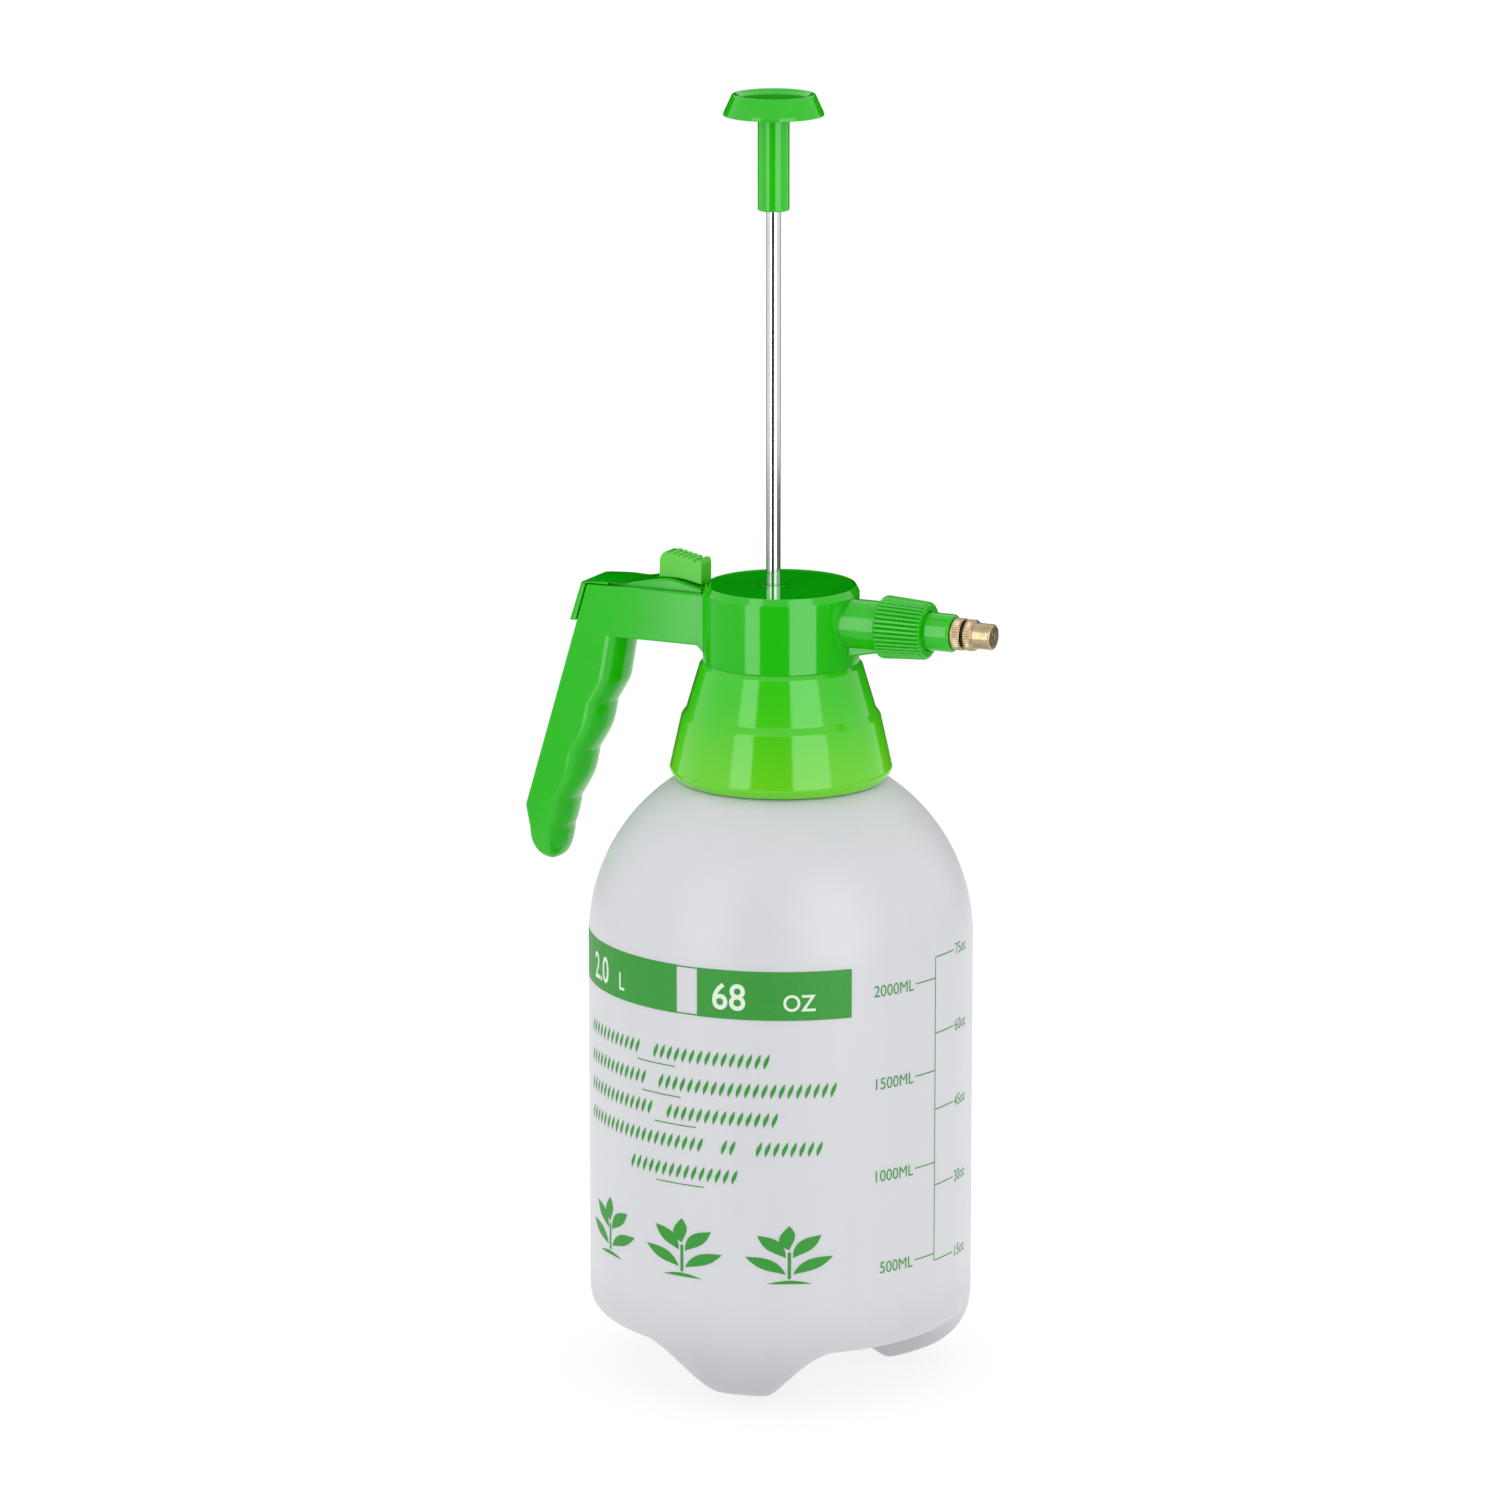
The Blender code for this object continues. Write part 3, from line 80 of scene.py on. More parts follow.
def perMetre(millimetres):
    # texture scale whose cells are that many millimetres across
    return 1 / (millimetres * mm)


def addNode(tree, kind, settings=None, links=None):
    node = tree.nodes.new(kind)
    for key, value in (settings or {}).items():
        if isinstance(key, str) and hasattr(node, key):
            setattr(node, key, value)
        else:
            node.inputs[key].default_value = value
    for key, socket in (links or {}).items():
        tree.links.new(socket, node.inputs[key])
    return node


def newMaterial(name, shaderSettings):
    material = bpy.data.materials.new(name)
    material.use_nodes = True
    tree = material.node_tree
    shader = tree.nodes["Principled BSDF"]
    for key, value in shaderSettings.items():
        shader.inputs[key].default_value = value
    place = addNode(tree, "ShaderNodeTexCoord").outputs["Object"]
    return material, tree, shader, place


def noiseOf(tree, place, size, detail=2.0, stretch=(1, 1, 1)):
    moved = addNode(tree, "ShaderNodeMapping", {"Scale": stretch}, {"Vector": place})
    return addNode(tree, "ShaderNodeTexNoise", {"Scale": perMetre(size), "Detail": detail},
                   {"Vector": moved.outputs["Vector"]}).outputs["Fac"]


def spread(tree, value, low, high):
    # carries a noise value onto a range, from its usual 0.3 to 0.7
    return addNode(tree, "ShaderNodeMapRange", {"From Min": 0.3, "From Max": 0.7, "To Min": low,
                                                "To Max": high}, {"Value": value}).outputs["Result"]


def tinted(tree, factor, first, second):
    return addNode(tree, "ShaderNodeMix", {"data_type": "RGBA", 6: toLinear(first),
                                           7: toLinear(second)}, {0: factor}).outputs[2]


def bumped(tree, shader, heights):
    # stacks bumps, each (height socket, depth in millimetres, strength)
    last = None
    for height, depth, strength in heights:
        links = {"Height": height}
        if last:
            links["Normal"] = last
        last = addNode(tree, "ShaderNodeBump", {"Distance": depth * mm, "Strength": strength},
                       links).outputs["Normal"]
    tree.links.new(last, shader.inputs["Normal"])


# ---- materials

def glossyPolypropylene(name, colours, sheen, paintedGlow=None):
    # polypropylene moulded in a polished tool: clean sharp reflections over a deep colour,
    # with the faint waviness of sink behind thick walls and slow flow marks in the colour.
    # the optional last argument gives (colours, low, high) for painted light: a paler colour lower
    # down, standing in for light caught there
    material, tree, shader, place = newMaterial(name, {
        "IOR": 1.49, "Specular IOR Level": sheen["specular"], "Subsurface Weight": 0.0})
    flow = noiseOf(tree, place, 26, 3, (1, 1, 0.4))
    colour = tinted(tree, spread(tree, flow, 0, 1), *colours)
    # painted light: paler towards the bottom
    if paintedGlow:
        height = addNode(tree, "ShaderNodeSeparateXYZ", links={"Vector": place}).outputs["Z"]
        share = addNode(tree, "ShaderNodeMapRange", {
            "interpolation_type": "SMOOTHSTEP", "From Min": paintedGlow["low"] * mm,
            "From Max": paintedGlow["high"] * mm}, {"Value": height}).outputs["Result"]
        pale = tinted(tree, spread(tree, flow, 0, 1), *paintedGlow["colours"])
        colour = addNode(tree, "ShaderNodeMix", {"data_type": "RGBA"},
                         {0: share, 6: pale, 7: colour}).outputs[2]
    tree.links.new(colour, shader.inputs["Base Color"])
    rub = noiseOf(tree, place, 2.4, 4)
    tree.links.new(spread(tree, rub, sheen["rough"] * 0.8, sheen["rough"] * 1.25),
                   shader.inputs["Roughness"])
    bumped(tree, shader, [(noiseOf(tree, place, 3.2, 1), 0.012, 0.5),
                          (noiseOf(tree, place, 0.35, 2), 0.002, 0.35)])
    return material


def blownPolyethylene():
    # natural HDPE blown in a sandblasted mould: milky, soft satin highlights, fine orange peel
    # and slow vertical streaks where the wall was drawn down
    material, tree, shader, place = newMaterial("blown natural polyethylene", {
        "IOR": 1.54, "Subsurface Weight": 0.35, "Subsurface Radius": (1.0, 0.95, 0.9),
        "Subsurface Scale": 0.006})
    streak = noiseOf(tree, place, 9, 3, (1, 1, 0.12))
    # painted shade: the base and feet get a darker grey, standing in for the shade that falls low on
    # the bottle
    height = addNode(tree, "ShaderNodeSeparateXYZ", links={"Vector": place}).outputs["Z"]
    share = addNode(tree, "ShaderNodeMapRange", {
        "interpolation_type": "SMOOTHSTEP", "From Min": -4 * mm, "From Max": 46 * mm},
        {"Value": height}).outputs["Result"]
    paintedFootShade = tinted(tree, spread(tree, streak, 0, 1), "#B2B4B7", "#AEB0B3")
    wall = tinted(tree, spread(tree, streak, 0, 1), "#DADBDF", "#D8D9DD")
    colour = addNode(tree, "ShaderNodeMix", {"data_type": "RGBA"},
                     {0: share, 6: paintedFootShade, 7: wall}).outputs[2]
    tree.links.new(colour, shader.inputs["Base Color"])
    tree.links.new(spread(tree, noiseOf(tree, place, 5, 3), 0.36, 0.46),
                   shader.inputs["Roughness"])
    bumped(tree, shader, [(noiseOf(tree, place, 7, 2, (1, 1, 0.5)), 0.05, 0.35),
                          (noiseOf(tree, place, 0.8, 2), 0.006, 0.5)])
    return material


def screenInk(name, light, dark):
    # screen printing ink: a flat satin film, a little thin between the threads of the mesh
    material, tree, shader, place = newMaterial(name, {"IOR": 1.5, "Specular IOR Level": 0.35})
    weave = noiseOf(tree, place, 0.45, 2)
    tree.links.new(tinted(tree, spread(tree, weave, 0, 1), light, dark),
                   shader.inputs["Base Color"])
    tree.links.new(spread(tree, noiseOf(tree, place, 2, 2), 0.42, 0.55),
                   shader.inputs["Roughness"])
    bumped(tree, shader, [(weave, 0.004, 0.4)])
    return material


def turnedBrass():
    # free-cutting brass off a lathe: warm yellow, fine feed rings that stretch the highlight
    material, tree, shader, place = newMaterial("turned brass", {
        "Metallic": 1.0, "Anisotropic": 0.35})
    tarnish = noiseOf(tree, place, 3.5, 3)
    tree.links.new(tinted(tree, spread(tree, tarnish, 0, 1), "#C1AE90", "#B09974"),
                   shader.inputs["Base Color"])
    rings = addNode(tree, "ShaderNodeTexWave", {
        "wave_type": "BANDS", "bands_direction": "X", "Scale": perMetre(0.18) / 3,
        "Distortion": 0.6, "Detail": 2.0}, {"Vector": place}).outputs["Fac"]
    tree.links.new(spread(tree, noiseOf(tree, place, 1.2, 3), 0.2, 0.34),
                   shader.inputs["Roughness"])
    bumped(tree, shader, [(rings, 0.006, 0.5), (noiseOf(tree, place, 0.5, 2), 0.002, 0.3)])
    return material


def drawnSteel(name, rough):
    # bright drawn and polished steel: a mirror with hair lines along its length
    material, tree, shader, place = newMaterial(name, {"Metallic": 1.0, "Anisotropic": 0.2})
    lines = noiseOf(tree, place, 0.12, 3, (1, 1, 0.015))
    tree.links.new(tinted(tree, spread(tree, noiseOf(tree, place, 8, 2), 0, 1), "#DCDCDE",
                          "#CFD0D3"), shader.inputs["Base Color"])
    tree.links.new(spread(tree, lines, rough * 0.8, rough * 1.3), shader.inputs["Roughness"])
    bumped(tree, shader, [(lines, 0.0015, 0.4)])
    return material


def mouldedRubber():
    # nitrile rubber: deep black, dull, with the fine grain of its mould and a trace of bloom
    material, tree, shader, place = newMaterial("moulded nitrile rubber", {"IOR": 1.52})
    bloom = noiseOf(tree, place, 2.5, 4)
    tree.links.new(tinted(tree, spread(tree, bloom, 0, 1), "#161616", "#262627"),
                   shader.inputs["Base Color"])
    tree.links.new(spread(tree, bloom, 0.5, 0.66), shader.inputs["Roughness"])
    bumped(tree, shader, [(noiseOf(tree, place, 0.25, 3), 0.01, 0.5)])
    return material


def mouldedAcetal():
    # white acetal: a clean moulded white, slightly waxy, with soft flow marks
    material, tree, shader, place = newMaterial("moulded white acetal", {
        "IOR": 1.48, "Subsurface Weight": 0.15, "Subsurface Radius": (1.0, 1.0, 0.95),
        "Subsurface Scale": 0.002})
    tree.links.new(tinted(tree, spread(tree, noiseOf(tree, place, 12, 3), 0, 1), "#F1F1EE",
                          "#E6E6E2"), shader.inputs["Base Color"])
    tree.links.new(spread(tree, noiseOf(tree, place, 1.5, 3), 0.3, 0.42),
                   shader.inputs["Roughness"])
    bumped(tree, shader, [(noiseOf(tree, place, 1.2, 2), 0.006, 0.4)])
    return material


def extrudedTube():
    # low density polyethylene tube: cloudy clear, with die lines along its length
    material, tree, shader, place = newMaterial("extruded polyethylene tube", {
        "IOR": 1.51, "Transmission Weight": 0.55})
    lines = noiseOf(tree, place, 0.5, 2, (1, 1, 0.03))
    tree.links.new(tinted(tree, spread(tree, lines, 0, 1), "#EEF2F3", "#DCE3E6"),
                   shader.inputs["Base Color"])
    tree.links.new(spread(tree, lines, 0.22, 0.36), shader.inputs["Roughness"])
    bumped(tree, shader, [(lines, 0.006, 0.5)])
    return material


greenPlastic = glossyPolypropylene("moulded green polypropylene", ("#22C00B", "#1CB908"),
                                   {"specular": 0.5, "rough": 0.1})
# the collar is painted paler towards its bottom and rim, as painted light
collarPlastic = glossyPolypropylene(
    "moulded yellow green polypropylene", ("#3ACB16", "#33C412"), {"specular": 0.5, "rough": 0.1},
    {"colours": ("#6CD41E", "#64CE1A"), "low": 213, "high": 250})
# the slide is a shade yellower, and its green is also made lighter as painted light, making up for
# the shade it gets from the lever
slidePaintedLightPlastic = glossyPolypropylene("moulded light green polypropylene", ("#50D01C", "#48C818"),
                                   {"specular": 0.5, "rough": 0.16})
# the pump cap and rod guide are dark green, made darker still as painted shade on their upward faces;
# on the lever's top this colour is painted shade alone
darkGreenAndPaintedShade = glossyPolypropylene("moulded dark green polypropylene and painted shade", ("#02B002", "#02A202"),
                                  {"specular": 0.5, "rough": 0.06})
milkyPlastic = blownPolyethylene()
greenInk = screenInk("green screen ink", "#289028", "#329B31")
whiteInk = screenInk("white screen ink", "#E4F0E2", "#D9EAD6")
brass = turnedBrass()
steel = drawnSteel("drawn and polished steel", 0.12)
zincSteel = drawnSteel("zinc plated steel", 0.26)
rubber = mouldedRubber()
acetal = mouldedAcetal()
clearTube = extrudedTube()
print("materials made")


# ---- shared shaping tools

def roundCorners(points, steps=5, closed=True):
    # (r, h, reach) corners are rounded over that reach on each side
    made = []
    count = len(points)
    for i, (first, second, *reach) in enumerate(points):
        here = Vector((first, second))
        if not reach or (not closed and i in (0, count - 1)):
            made.append(here)
            continue
        before = Vector(points[i - 1][:2]) - here
        after = Vector(points[(i + 1) % count][:2]) - here
        size = min(reach[0], 0.49 * before.length, 0.49 * after.length)
        start = here + before.normalized() * size
        end = here + after.normalized() * size
        for k in range(steps + 1):
            t = k / steps
            made.append(start * (1 - t) ** 2 + here * 2 * t * (1 - t) + end * t ** 2)
    return made


def skinned(shape, rings, closedRows=False):
    # faces between rings of equal count; a ring of one repeated vertex is a pole
    rows = list(zip(rings, rings[1:] + rings[:1])) if closedRows else list(zip(rings, rings[1:]))
    for row, after in rows:
        for i in range(len(row)):
            j = (i + 1) % len(row)
            corners = list(dict.fromkeys((row[i], row[j], after[j], after[i])))
            if len(corners) > 2:
                shape.faces.new(corners)


def placed(name, shape, crease=38):
    # turns millimetres from the bottle's axis into the frame's metres and shades the result
    bmesh.ops.recalc_face_normals(shape, faces=shape.faces)
    for vert in shape.verts:
        vert.co = vert.co * mm + Vector((axisX, 0, 0))
    mesh = bpy.data.meshes.new(name)
    shape.to_mesh(mesh)
    shape.free()
    made = bpy.data.objects.new(name, mesh)
    pieces.objects.link(made)
    smoothed(made, crease)
    return made


def smoothed(made, crease=38):
    made.data.shade_smooth()
    made.data.set_sharp_from_angle(angle=math.radians(crease))


def turned(name, outline, steps=96, centre=(0, 0, 0), along="z", crease=38):
    # outline is (radius, height) round z, or (radius, x) round the nozzle's axis
    shape = bmesh.new()
    rings = []
    for radius, height in outline:
        ring = []
        if radius < 1e-6:
            ring = [shape.verts.new((0, 0, height))] * steps
        else:
            for i in range(steps):
                turn = math.tau * i / steps
                ring.append(shape.verts.new((radius * math.cos(turn), radius * math.sin(turn),
                                             height)))
        rings.append(ring)
    onAxis = outline[0][0] < 1e-6 and outline[-1][0] < 1e-6
    skinned(shape, rings, closedRows=not onAxis)
    for vert in shape.verts:
        x, y, z = vert.co
        turnedPlace = {"z": (x, y, z), "x": (z, y, -x), "y": (x, z, -y)}[along]
        vert.co = Vector(turnedPlace) + Vector(centre)
    return placed(name, shape, crease)


def plate(name, outline, width, bevel=0.0, segments=3, onlySides=False):
    # a side outline (x, z) given a width across y, with its edges rounded
    shape = bmesh.new()
    near = [shape.verts.new((x, -width / 2, z)) for x, z in outline]
    made = bmesh.ops.extrude_face_region(shape, geom=[shape.faces.new(near)])
    far = [item for item in made["geom"] if isinstance(item, bmesh.types.BMVert)]
    bmesh.ops.translate(shape, verts=far, vec=(0, width, 0))
    bmesh.ops.recalc_face_normals(shape, faces=shape.faces)
    if bevel:
        edges = [edge for edge in shape.edges
                 if edge.calc_face_angle(0) > math.radians(40)
                 and not (onlySides and abs(edge.verts[0].co.y - edge.verts[1].co.y) > 0.1)]
        bmesh.ops.bevel(shape, geom=edges, offset=bevel, segments=segments, profile=0.5,
                        affect="EDGES", clamp_overlap=True)
    return placed(name, shape)


def block(name, low, high, bevel=0.0):
    x0, y0, z0 = low
    x1, y1, z1 = high
    made = plate(name, [(x0, z0), (x1, z0), (x1, z1), (x0, z1)], y1 - y0, bevel)
    made.data.transform(shifted(0, (y0 + y1) / 2, 0))
    return made


def shifted(x, y, z):
    from mathutils import Matrix
    return Matrix.Translation(Vector((x, y, z)) * mm)


def frozen(made):
    # applies the modifiers
    bpy.context.view_layer.update()
    graph = bpy.context.evaluated_depsgraph_get()
    mesh = bpy.data.meshes.new_from_object(made.evaluated_get(graph))
    made.modifiers.clear()
    made.data = mesh
    return made


def combined(made, joined=(), cut=(), crease=38):
    for others, operation in ((joined, "UNION"), (cut, "DIFFERENCE")):
        for other in others:
            step = made.modifiers.new("step", "BOOLEAN")
            step.operation = operation
            step.solver = "EXACT"
            step.object = other
    frozen(made)
    for other in (*joined, *cut):
        bpy.data.objects.remove(other)
    smoothed(made, crease)
    return made


def finished(made, material, body, slotName, *nodes):
    made.data.materials.clear()
    made.data.materials.append(material)
    if made.type == "MESH":
        weighted = made.modifiers.new("even shading", "WEIGHTED_NORMAL")
        weighted.keep_sharp = True
        weighted.weight = 60
    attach(made, body)
    if nodes:
        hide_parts(*nodes)
    return made


def smoothStep(low, high, value):
    t = min(1.0, max(0.0, (value - low) / (high - low)))
    return t * t * (3 - 2 * t)


def throughPoints(points, perSpan):
    # a smooth curve through the points (Catmull-Rom)
    made = []
    last = len(points) - 1
    for i in range(last):
        a, b = Vector(points[max(i - 1, 0)]), Vector(points[i])
        c, d = Vector(points[i + 1]), Vector(points[min(i + 2, last)])
        for k in range(perSpan):
            t = k / perSpan
            made.append(0.5 * (2 * b + (c - a) * t + (2 * a - 5 * b + 4 * c - d) * t ** 2
                               + (3 * b - a - 3 * c + d) * t ** 3))
    made.append(Vector(points[last]))
    return made


# ---- bottle

bottle = {
    "radius": 67.44, "wall": 1.8, "wallBottom": 31.0, "wallTop": 157.0, "domeRise": 66.2,
    "domeTopRadius": 39.0, "ledge": 213.3, "neckRadius": 29.8, "ridge": 1.4, "ridgePitch": 7.5,
    "ridges": 2, "feet": 3, "firstFoot": -80.0, "footFlat": 8.0, "footBlend": 33.0,
    "padInner": 37.5, "padOuter": 41.5, "edge": 20.2, "centre": 15.0, "around": 252,
    "partingLine": 0.05, "partingWidth": 0.35, "partingTurn": 12.0,
}


def footShare(turn):
    # 0 on the middle of a foot and 1 between two feet
    sector = 360 / bottle["feet"]
    away = abs((math.degrees(turn) - bottle["firstFoot"] + sector / 2) % sector - sector / 2)
    return smoothStep(bottle["footFlat"], bottle["footBlend"], away)


def bottleSections():
    # foot section and section between feet, both from the middle out to the wall
    r, edge, centre = bottle["radius"], bottle["edge"], bottle["centre"]
    inner, outer, wall = bottle["padInner"], bottle["padOuter"], bottle["wallBottom"]
    foot = [(0, centre), (11, centre - 0.1), (21.5, centre - 2), (29, 6), (inner, 0),
            (outer, 0), (r - 17, 2.4), (r - 10.5, 5.4), (r - 5.3, 10), (r - 1.7, 16.5),
            (r - 0.2, 24.5), (r, wall)]
    between = [(0, centre), (11, centre + 0.2), (21.5, centre + 1.2), (29, edge - 3),
               (inner, edge - 1.6), (outer, edge - 0.8), (r - 17, edge - 0.2), (r - 10.5, edge),
               (r - 5.5, edge + 1), (r - 1.9, edge + 3.4), (r - 0.3, edge + 7), (r, wall)]
    return throughPoints(foot, 5), throughPoints(between, 5)


def bottleUpper():
    r, wallTop, rise = bottle["radius"], bottle["wallTop"], bottle["domeRise"]
    ledge, neck = bottle["ledge"], bottle["neckRadius"]
    top = span("bottle")[1].z
    points = [(r, bottle["wallBottom"] + (wallTop - bottle["wallBottom"]) * i / 6)
              for i in range(1, 7)]
    last = math.acos(bottle["domeTopRadius"] / r)
    for i in range(1, 41):
        turn = last * i / 40
        points.append((r * math.cos(turn), wallTop + rise * math.sin(turn)))
    neckLine = [(bottle["domeTopRadius"], points[-1][1]),
                (bottle["domeTopRadius"] - 3, ledge, 1.0), (neck + 1.5, ledge + 0.3, 0.4),
                (neck, ledge + 1.8, 0.6)]
    for i in range(bottle["ridges"]):
        low = ledge + 4.5 + i * bottle["ridgePitch"]
        crest = neck + bottle["ridge"]
        neckLine += [(neck, low, 0.3), (crest, low + 1.0, 0.4), (crest, low + 2.0, 0.4),
                     (neck, low + 3.0, 0.3)]
    neckLine.append((neck, top))
    points += [tuple(point) for point in roundCorners(neckLine, 4, closed=False)[1:]]
    return points


def bottleWallRadius(height):
    # outer radius of the wall or the dome at a height
    above = max(0.0, height - bottle["wallTop"])
    return bottle["radius"] * math.sqrt(max(0.0, 1 - (above / bottle["domeRise"]) ** 2))


def makeBottle():
    foot, between = bottleSections()
    turns = [math.radians(bottle["firstFoot"]) + math.tau * i / bottle["around"]
             for i in range(bottle["around"])]
    rows = []
    for (footR, footZ), (gapR, gapZ) in zip(foot, between):
        row = []
        for turn in turns:
            share = footShare(turn)
            r = footR + (gapR - footR) * share
            z = max(0.0, footZ + (gapZ - footZ) * share)
            row.append((r, z, turn))
        rows.append(row)
    for r, z in bottleUpper():
        rows.append([(r, z, turn) for turn in turns])
    shape = bmesh.new()
    rings = []
    for row in rows:
        if row[0][0] < 1e-6:
            rings.append([shape.verts.new((0, 0, row[0][1]))] * len(turns))
        else:
            rings.append([shape.verts.new((r * math.cos(turn), r * math.sin(turn), z))
                          for r, z, turn in row])
    skinned(shape, rings)
    made = placed("blown_bottle", shape, 60)
    wall = made.modifiers.new("wall", "SOLIDIFY")
    wall.thickness = bottle["wall"] * mm
    wall.offset = -1.0
    wall.use_even_offset = True
    frozen(made)
    smoothed(made, 60)
    return finished(made, milkyPlastic, "bottle", "milky_plastic", "bottle")


makeBottle()
print("bottle made")

# ---- print on the bottle: flat shapes drawn as (millimetres round the wall, height)

printing = {
    "front": -65.0,          # direction that the print faces, in degrees round the bottle
    "proud": 0.03, "film": 0.06, "step": 1.3,
    "bandLow": 142.9, "bandHigh": 160.2, "bandFrom": -128.0, "bandTo": 21.2,
    "windowFrom": -32.1, "windowTo": -25.3,
    "rowHeights": (125.4, 114.9, 104.6, 94.1, 83.7), "rowTall": 5.6, "rowPitch": 3.0, "bold": 0.012,
    "leafAt": (-62.0, -30.5, 2.6), "leafLow": 48.6,
    "scaleAt": 52.6, "millilitreLow": 51.8, "millilitreStep": 33.13,
    "ounceLow": 49.3, "ounceStep": 27.35, "line": 0.42, "numeral": 4.3,
}
# how far each row's words reach round the wall, in degrees from the front
rowWords = (
    ((-76, -45.5), (-40.5, -3.5)), ((-76, -43.5), (-38.5, 17.0)), ((-76, -40.5), (-35.5, -1.0)),
    ((-76, -23.0), (-17.5, -12.5), (-7.0, 13.5)), ((-50, -11.8),),
)
underlines = ((-47.5, -32.9, 123.7), (-45.3, -30.8, 113.0), (-40.4, -25.7, 103.0),
              (-39.7, -23.2, 81.9))


def arc(degrees):
    return math.radians(degrees) * bottle["radius"]


def flatShape(shape, points):
    shape.faces.new([shape.verts.new((x, z, 0)) for x, z in points])


def bar(shape, x0, z0, x1, z1, round_=0.0):
    flatShape(shape, [tuple(p) for p in roundCorners([
        (x0, z0, round_), (x1, z0, round_), (x1, z1, round_), (x0, z1, round_)], 4)]
              if round_ else [(x0, z0), (x1, z0), (x1, z1), (x0, z1)])


def stroke(shape, start, end, width):
    # a straight line of ink between two points
    a, b = Vector(start), Vector(end)
    side = (b - a).normalized().orthogonal() * width / 2
    flatShape(shape, [tuple(a - side), tuple(b - side), tuple(b + side), tuple(a + side)])


def lettered(shape, text, tall, x, z, narrow=0.8, align="LEFT", bold=0.0):
    curve = bpy.data.curves.new("numeral", "FONT")
    curve.body = text
    curve.size = tall / 0.73
    curve.align_x = align
    curve.offset = bold * curve.size
    curve.resolution_u = 4
    holder = bpy.data.objects.new("numeral", curve)
    bpy.context.scene.collection.objects.link(holder)
    bpy.context.view_layer.update()
    graph = bpy.context.evaluated_depsgraph_get()
    mesh = bpy.data.meshes.new_from_object(holder.evaluated_get(graph))
    for vert in mesh.vertices:
        vert.co = (vert.co.x * narrow + x, vert.co.y + z, 0)
    shape.from_mesh(mesh)
    bpy.data.objects.remove(holder)
    bpy.data.meshes.remove(mesh)


def wrapped(name, shape, proud, material):
    # cuts the flat shapes into narrow strips, bends them round the wall and thickens them
    bmesh.ops.remove_doubles(shape, verts=shape.verts, dist=1e-4)
    low = min(vert.co.x for vert in shape.verts)
    high = max(vert.co.x for vert in shape.verts)
    for i in range(1, int((high - low) / printing["step"]) + 1):
        bmesh.ops.bisect_plane(shape, geom=shape.verts[:] + shape.edges[:] + shape.faces[:],
                               plane_co=(low + i * printing["step"], 0, 0), plane_no=(1, 0, 0))
    for i in range(3):
        height = bottle["wallTop"] + 1.2 * i
        bmesh.ops.bisect_plane(shape, geom=shape.verts[:] + shape.edges[:] + shape.faces[:],
                               plane_co=(0, height, 0), plane_no=(0, 1, 0))
    for vert in shape.verts:
        x, z, _ = vert.co
        turn = math.radians(printing["front"]) + x / bottle["radius"]
        r = bottleWallRadius(z) + proud
        vert.co = (r * math.cos(turn), r * math.sin(turn), z)
    for face in shape.faces:
        face.normal_update()
        middle = face.calc_center_median()
        if face.normal.dot(Vector((middle.x, middle.y, 0))) < 0:
            face.normal_flip()
    for vert in shape.verts:
        vert.co = vert.co * mm + Vector((axisX, 0, 0))
    mesh = bpy.data.meshes.new(name)
    shape.to_mesh(mesh)
    shape.free()
    made = bpy.data.objects.new(name, mesh)
    pieces.objects.link(made)
    film = made.modifiers.new("film", "SOLIDIFY")
    film.thickness = printing["film"] * mm
    film.offset = -1.0
    frozen(made)
    smoothed(made, 50)
    made.data.materials.append(material)
    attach(made, "bottle")
    return made


def drawBand(shape):
    p = printing
    bar(shape, arc(p["bandFrom"]), p["bandLow"], arc(p["windowFrom"]), p["bandHigh"], 0.5)
    bar(shape, arc(p["windowTo"]), p["bandLow"], arc(p["bandTo"]), p["bandHigh"], 0.5)
    for height in (p["bandLow"] + 0.35, p["bandHigh"] - 0.35):
        stroke(shape, (arc(p["windowFrom"]) - 0.4, height), (arc(p["windowTo"]) + 0.4, height), 0.5)


def drawRows(shape):
    # wordless rows: each is a run of small leaning leaves
    tall, pitch = printing["rowTall"], printing["rowPitch"]
    for words, base in zip(rowWords, printing["rowHeights"]):
        for start, end in words:
            count = round((arc(end) - arc(start)) / pitch)
            for i in range(count):
                x = arc(start) + i * pitch
                flatShape(shape, leafOutline((x, base), (x + pitch * 0.6, base + tall), 0.95, 10))
    for start, end, height in underlines:
        bar(shape, arc(start), height - 0.2, arc(end), height + 0.2)


def leafOutline(root, tip, belly, steps=14):
    # an almond leaf from root to tip
    a, b = Vector(root), Vector(tip)
    side = (b - a).orthogonal().normalized() * belly
    line = [i / steps for i in range(steps + 1)]
    upper = [a + (b - a) * t + side * math.sin(math.pi * t ** 0.8) for t in line]
    lower = [a + (b - a) * t - side * math.sin(math.pi * t ** 1.3) * 0.55 for t in line]
    return [tuple(p) for p in upper] + [tuple(p) for p in reversed(lower[1:-1])]


def drawSprigs(shape):
    # a sprig of five leaves over a mound, three times round the bottle
    for at in printing["leafAt"]:
        x, low = arc(at), printing["leafLow"]
        bar(shape, x - 0.6, low + 1.8, x + 0.6, low + 11.5, 0.4)
        flatShape(shape, leafOutline((x, low + 12.2), (x, low + 21.0), 3.6))
        for side in (-1, 1):
            flatShape(shape, leafOutline((x + side * 1.3, low + 9.4), (x + side * 11.2, low + 17.4),
                                         3.1 * side))
            flatShape(shape, leafOutline((x + side * 1.3, low + 3.4), (x + side * 15.4, low + 9.6),
                                         2.7 * side))
        mound = [(x - 8.0 + i, low + 1.3 * math.sin(math.pi * i / 16)) for i in range(17)]
        flatShape(shape, mound)


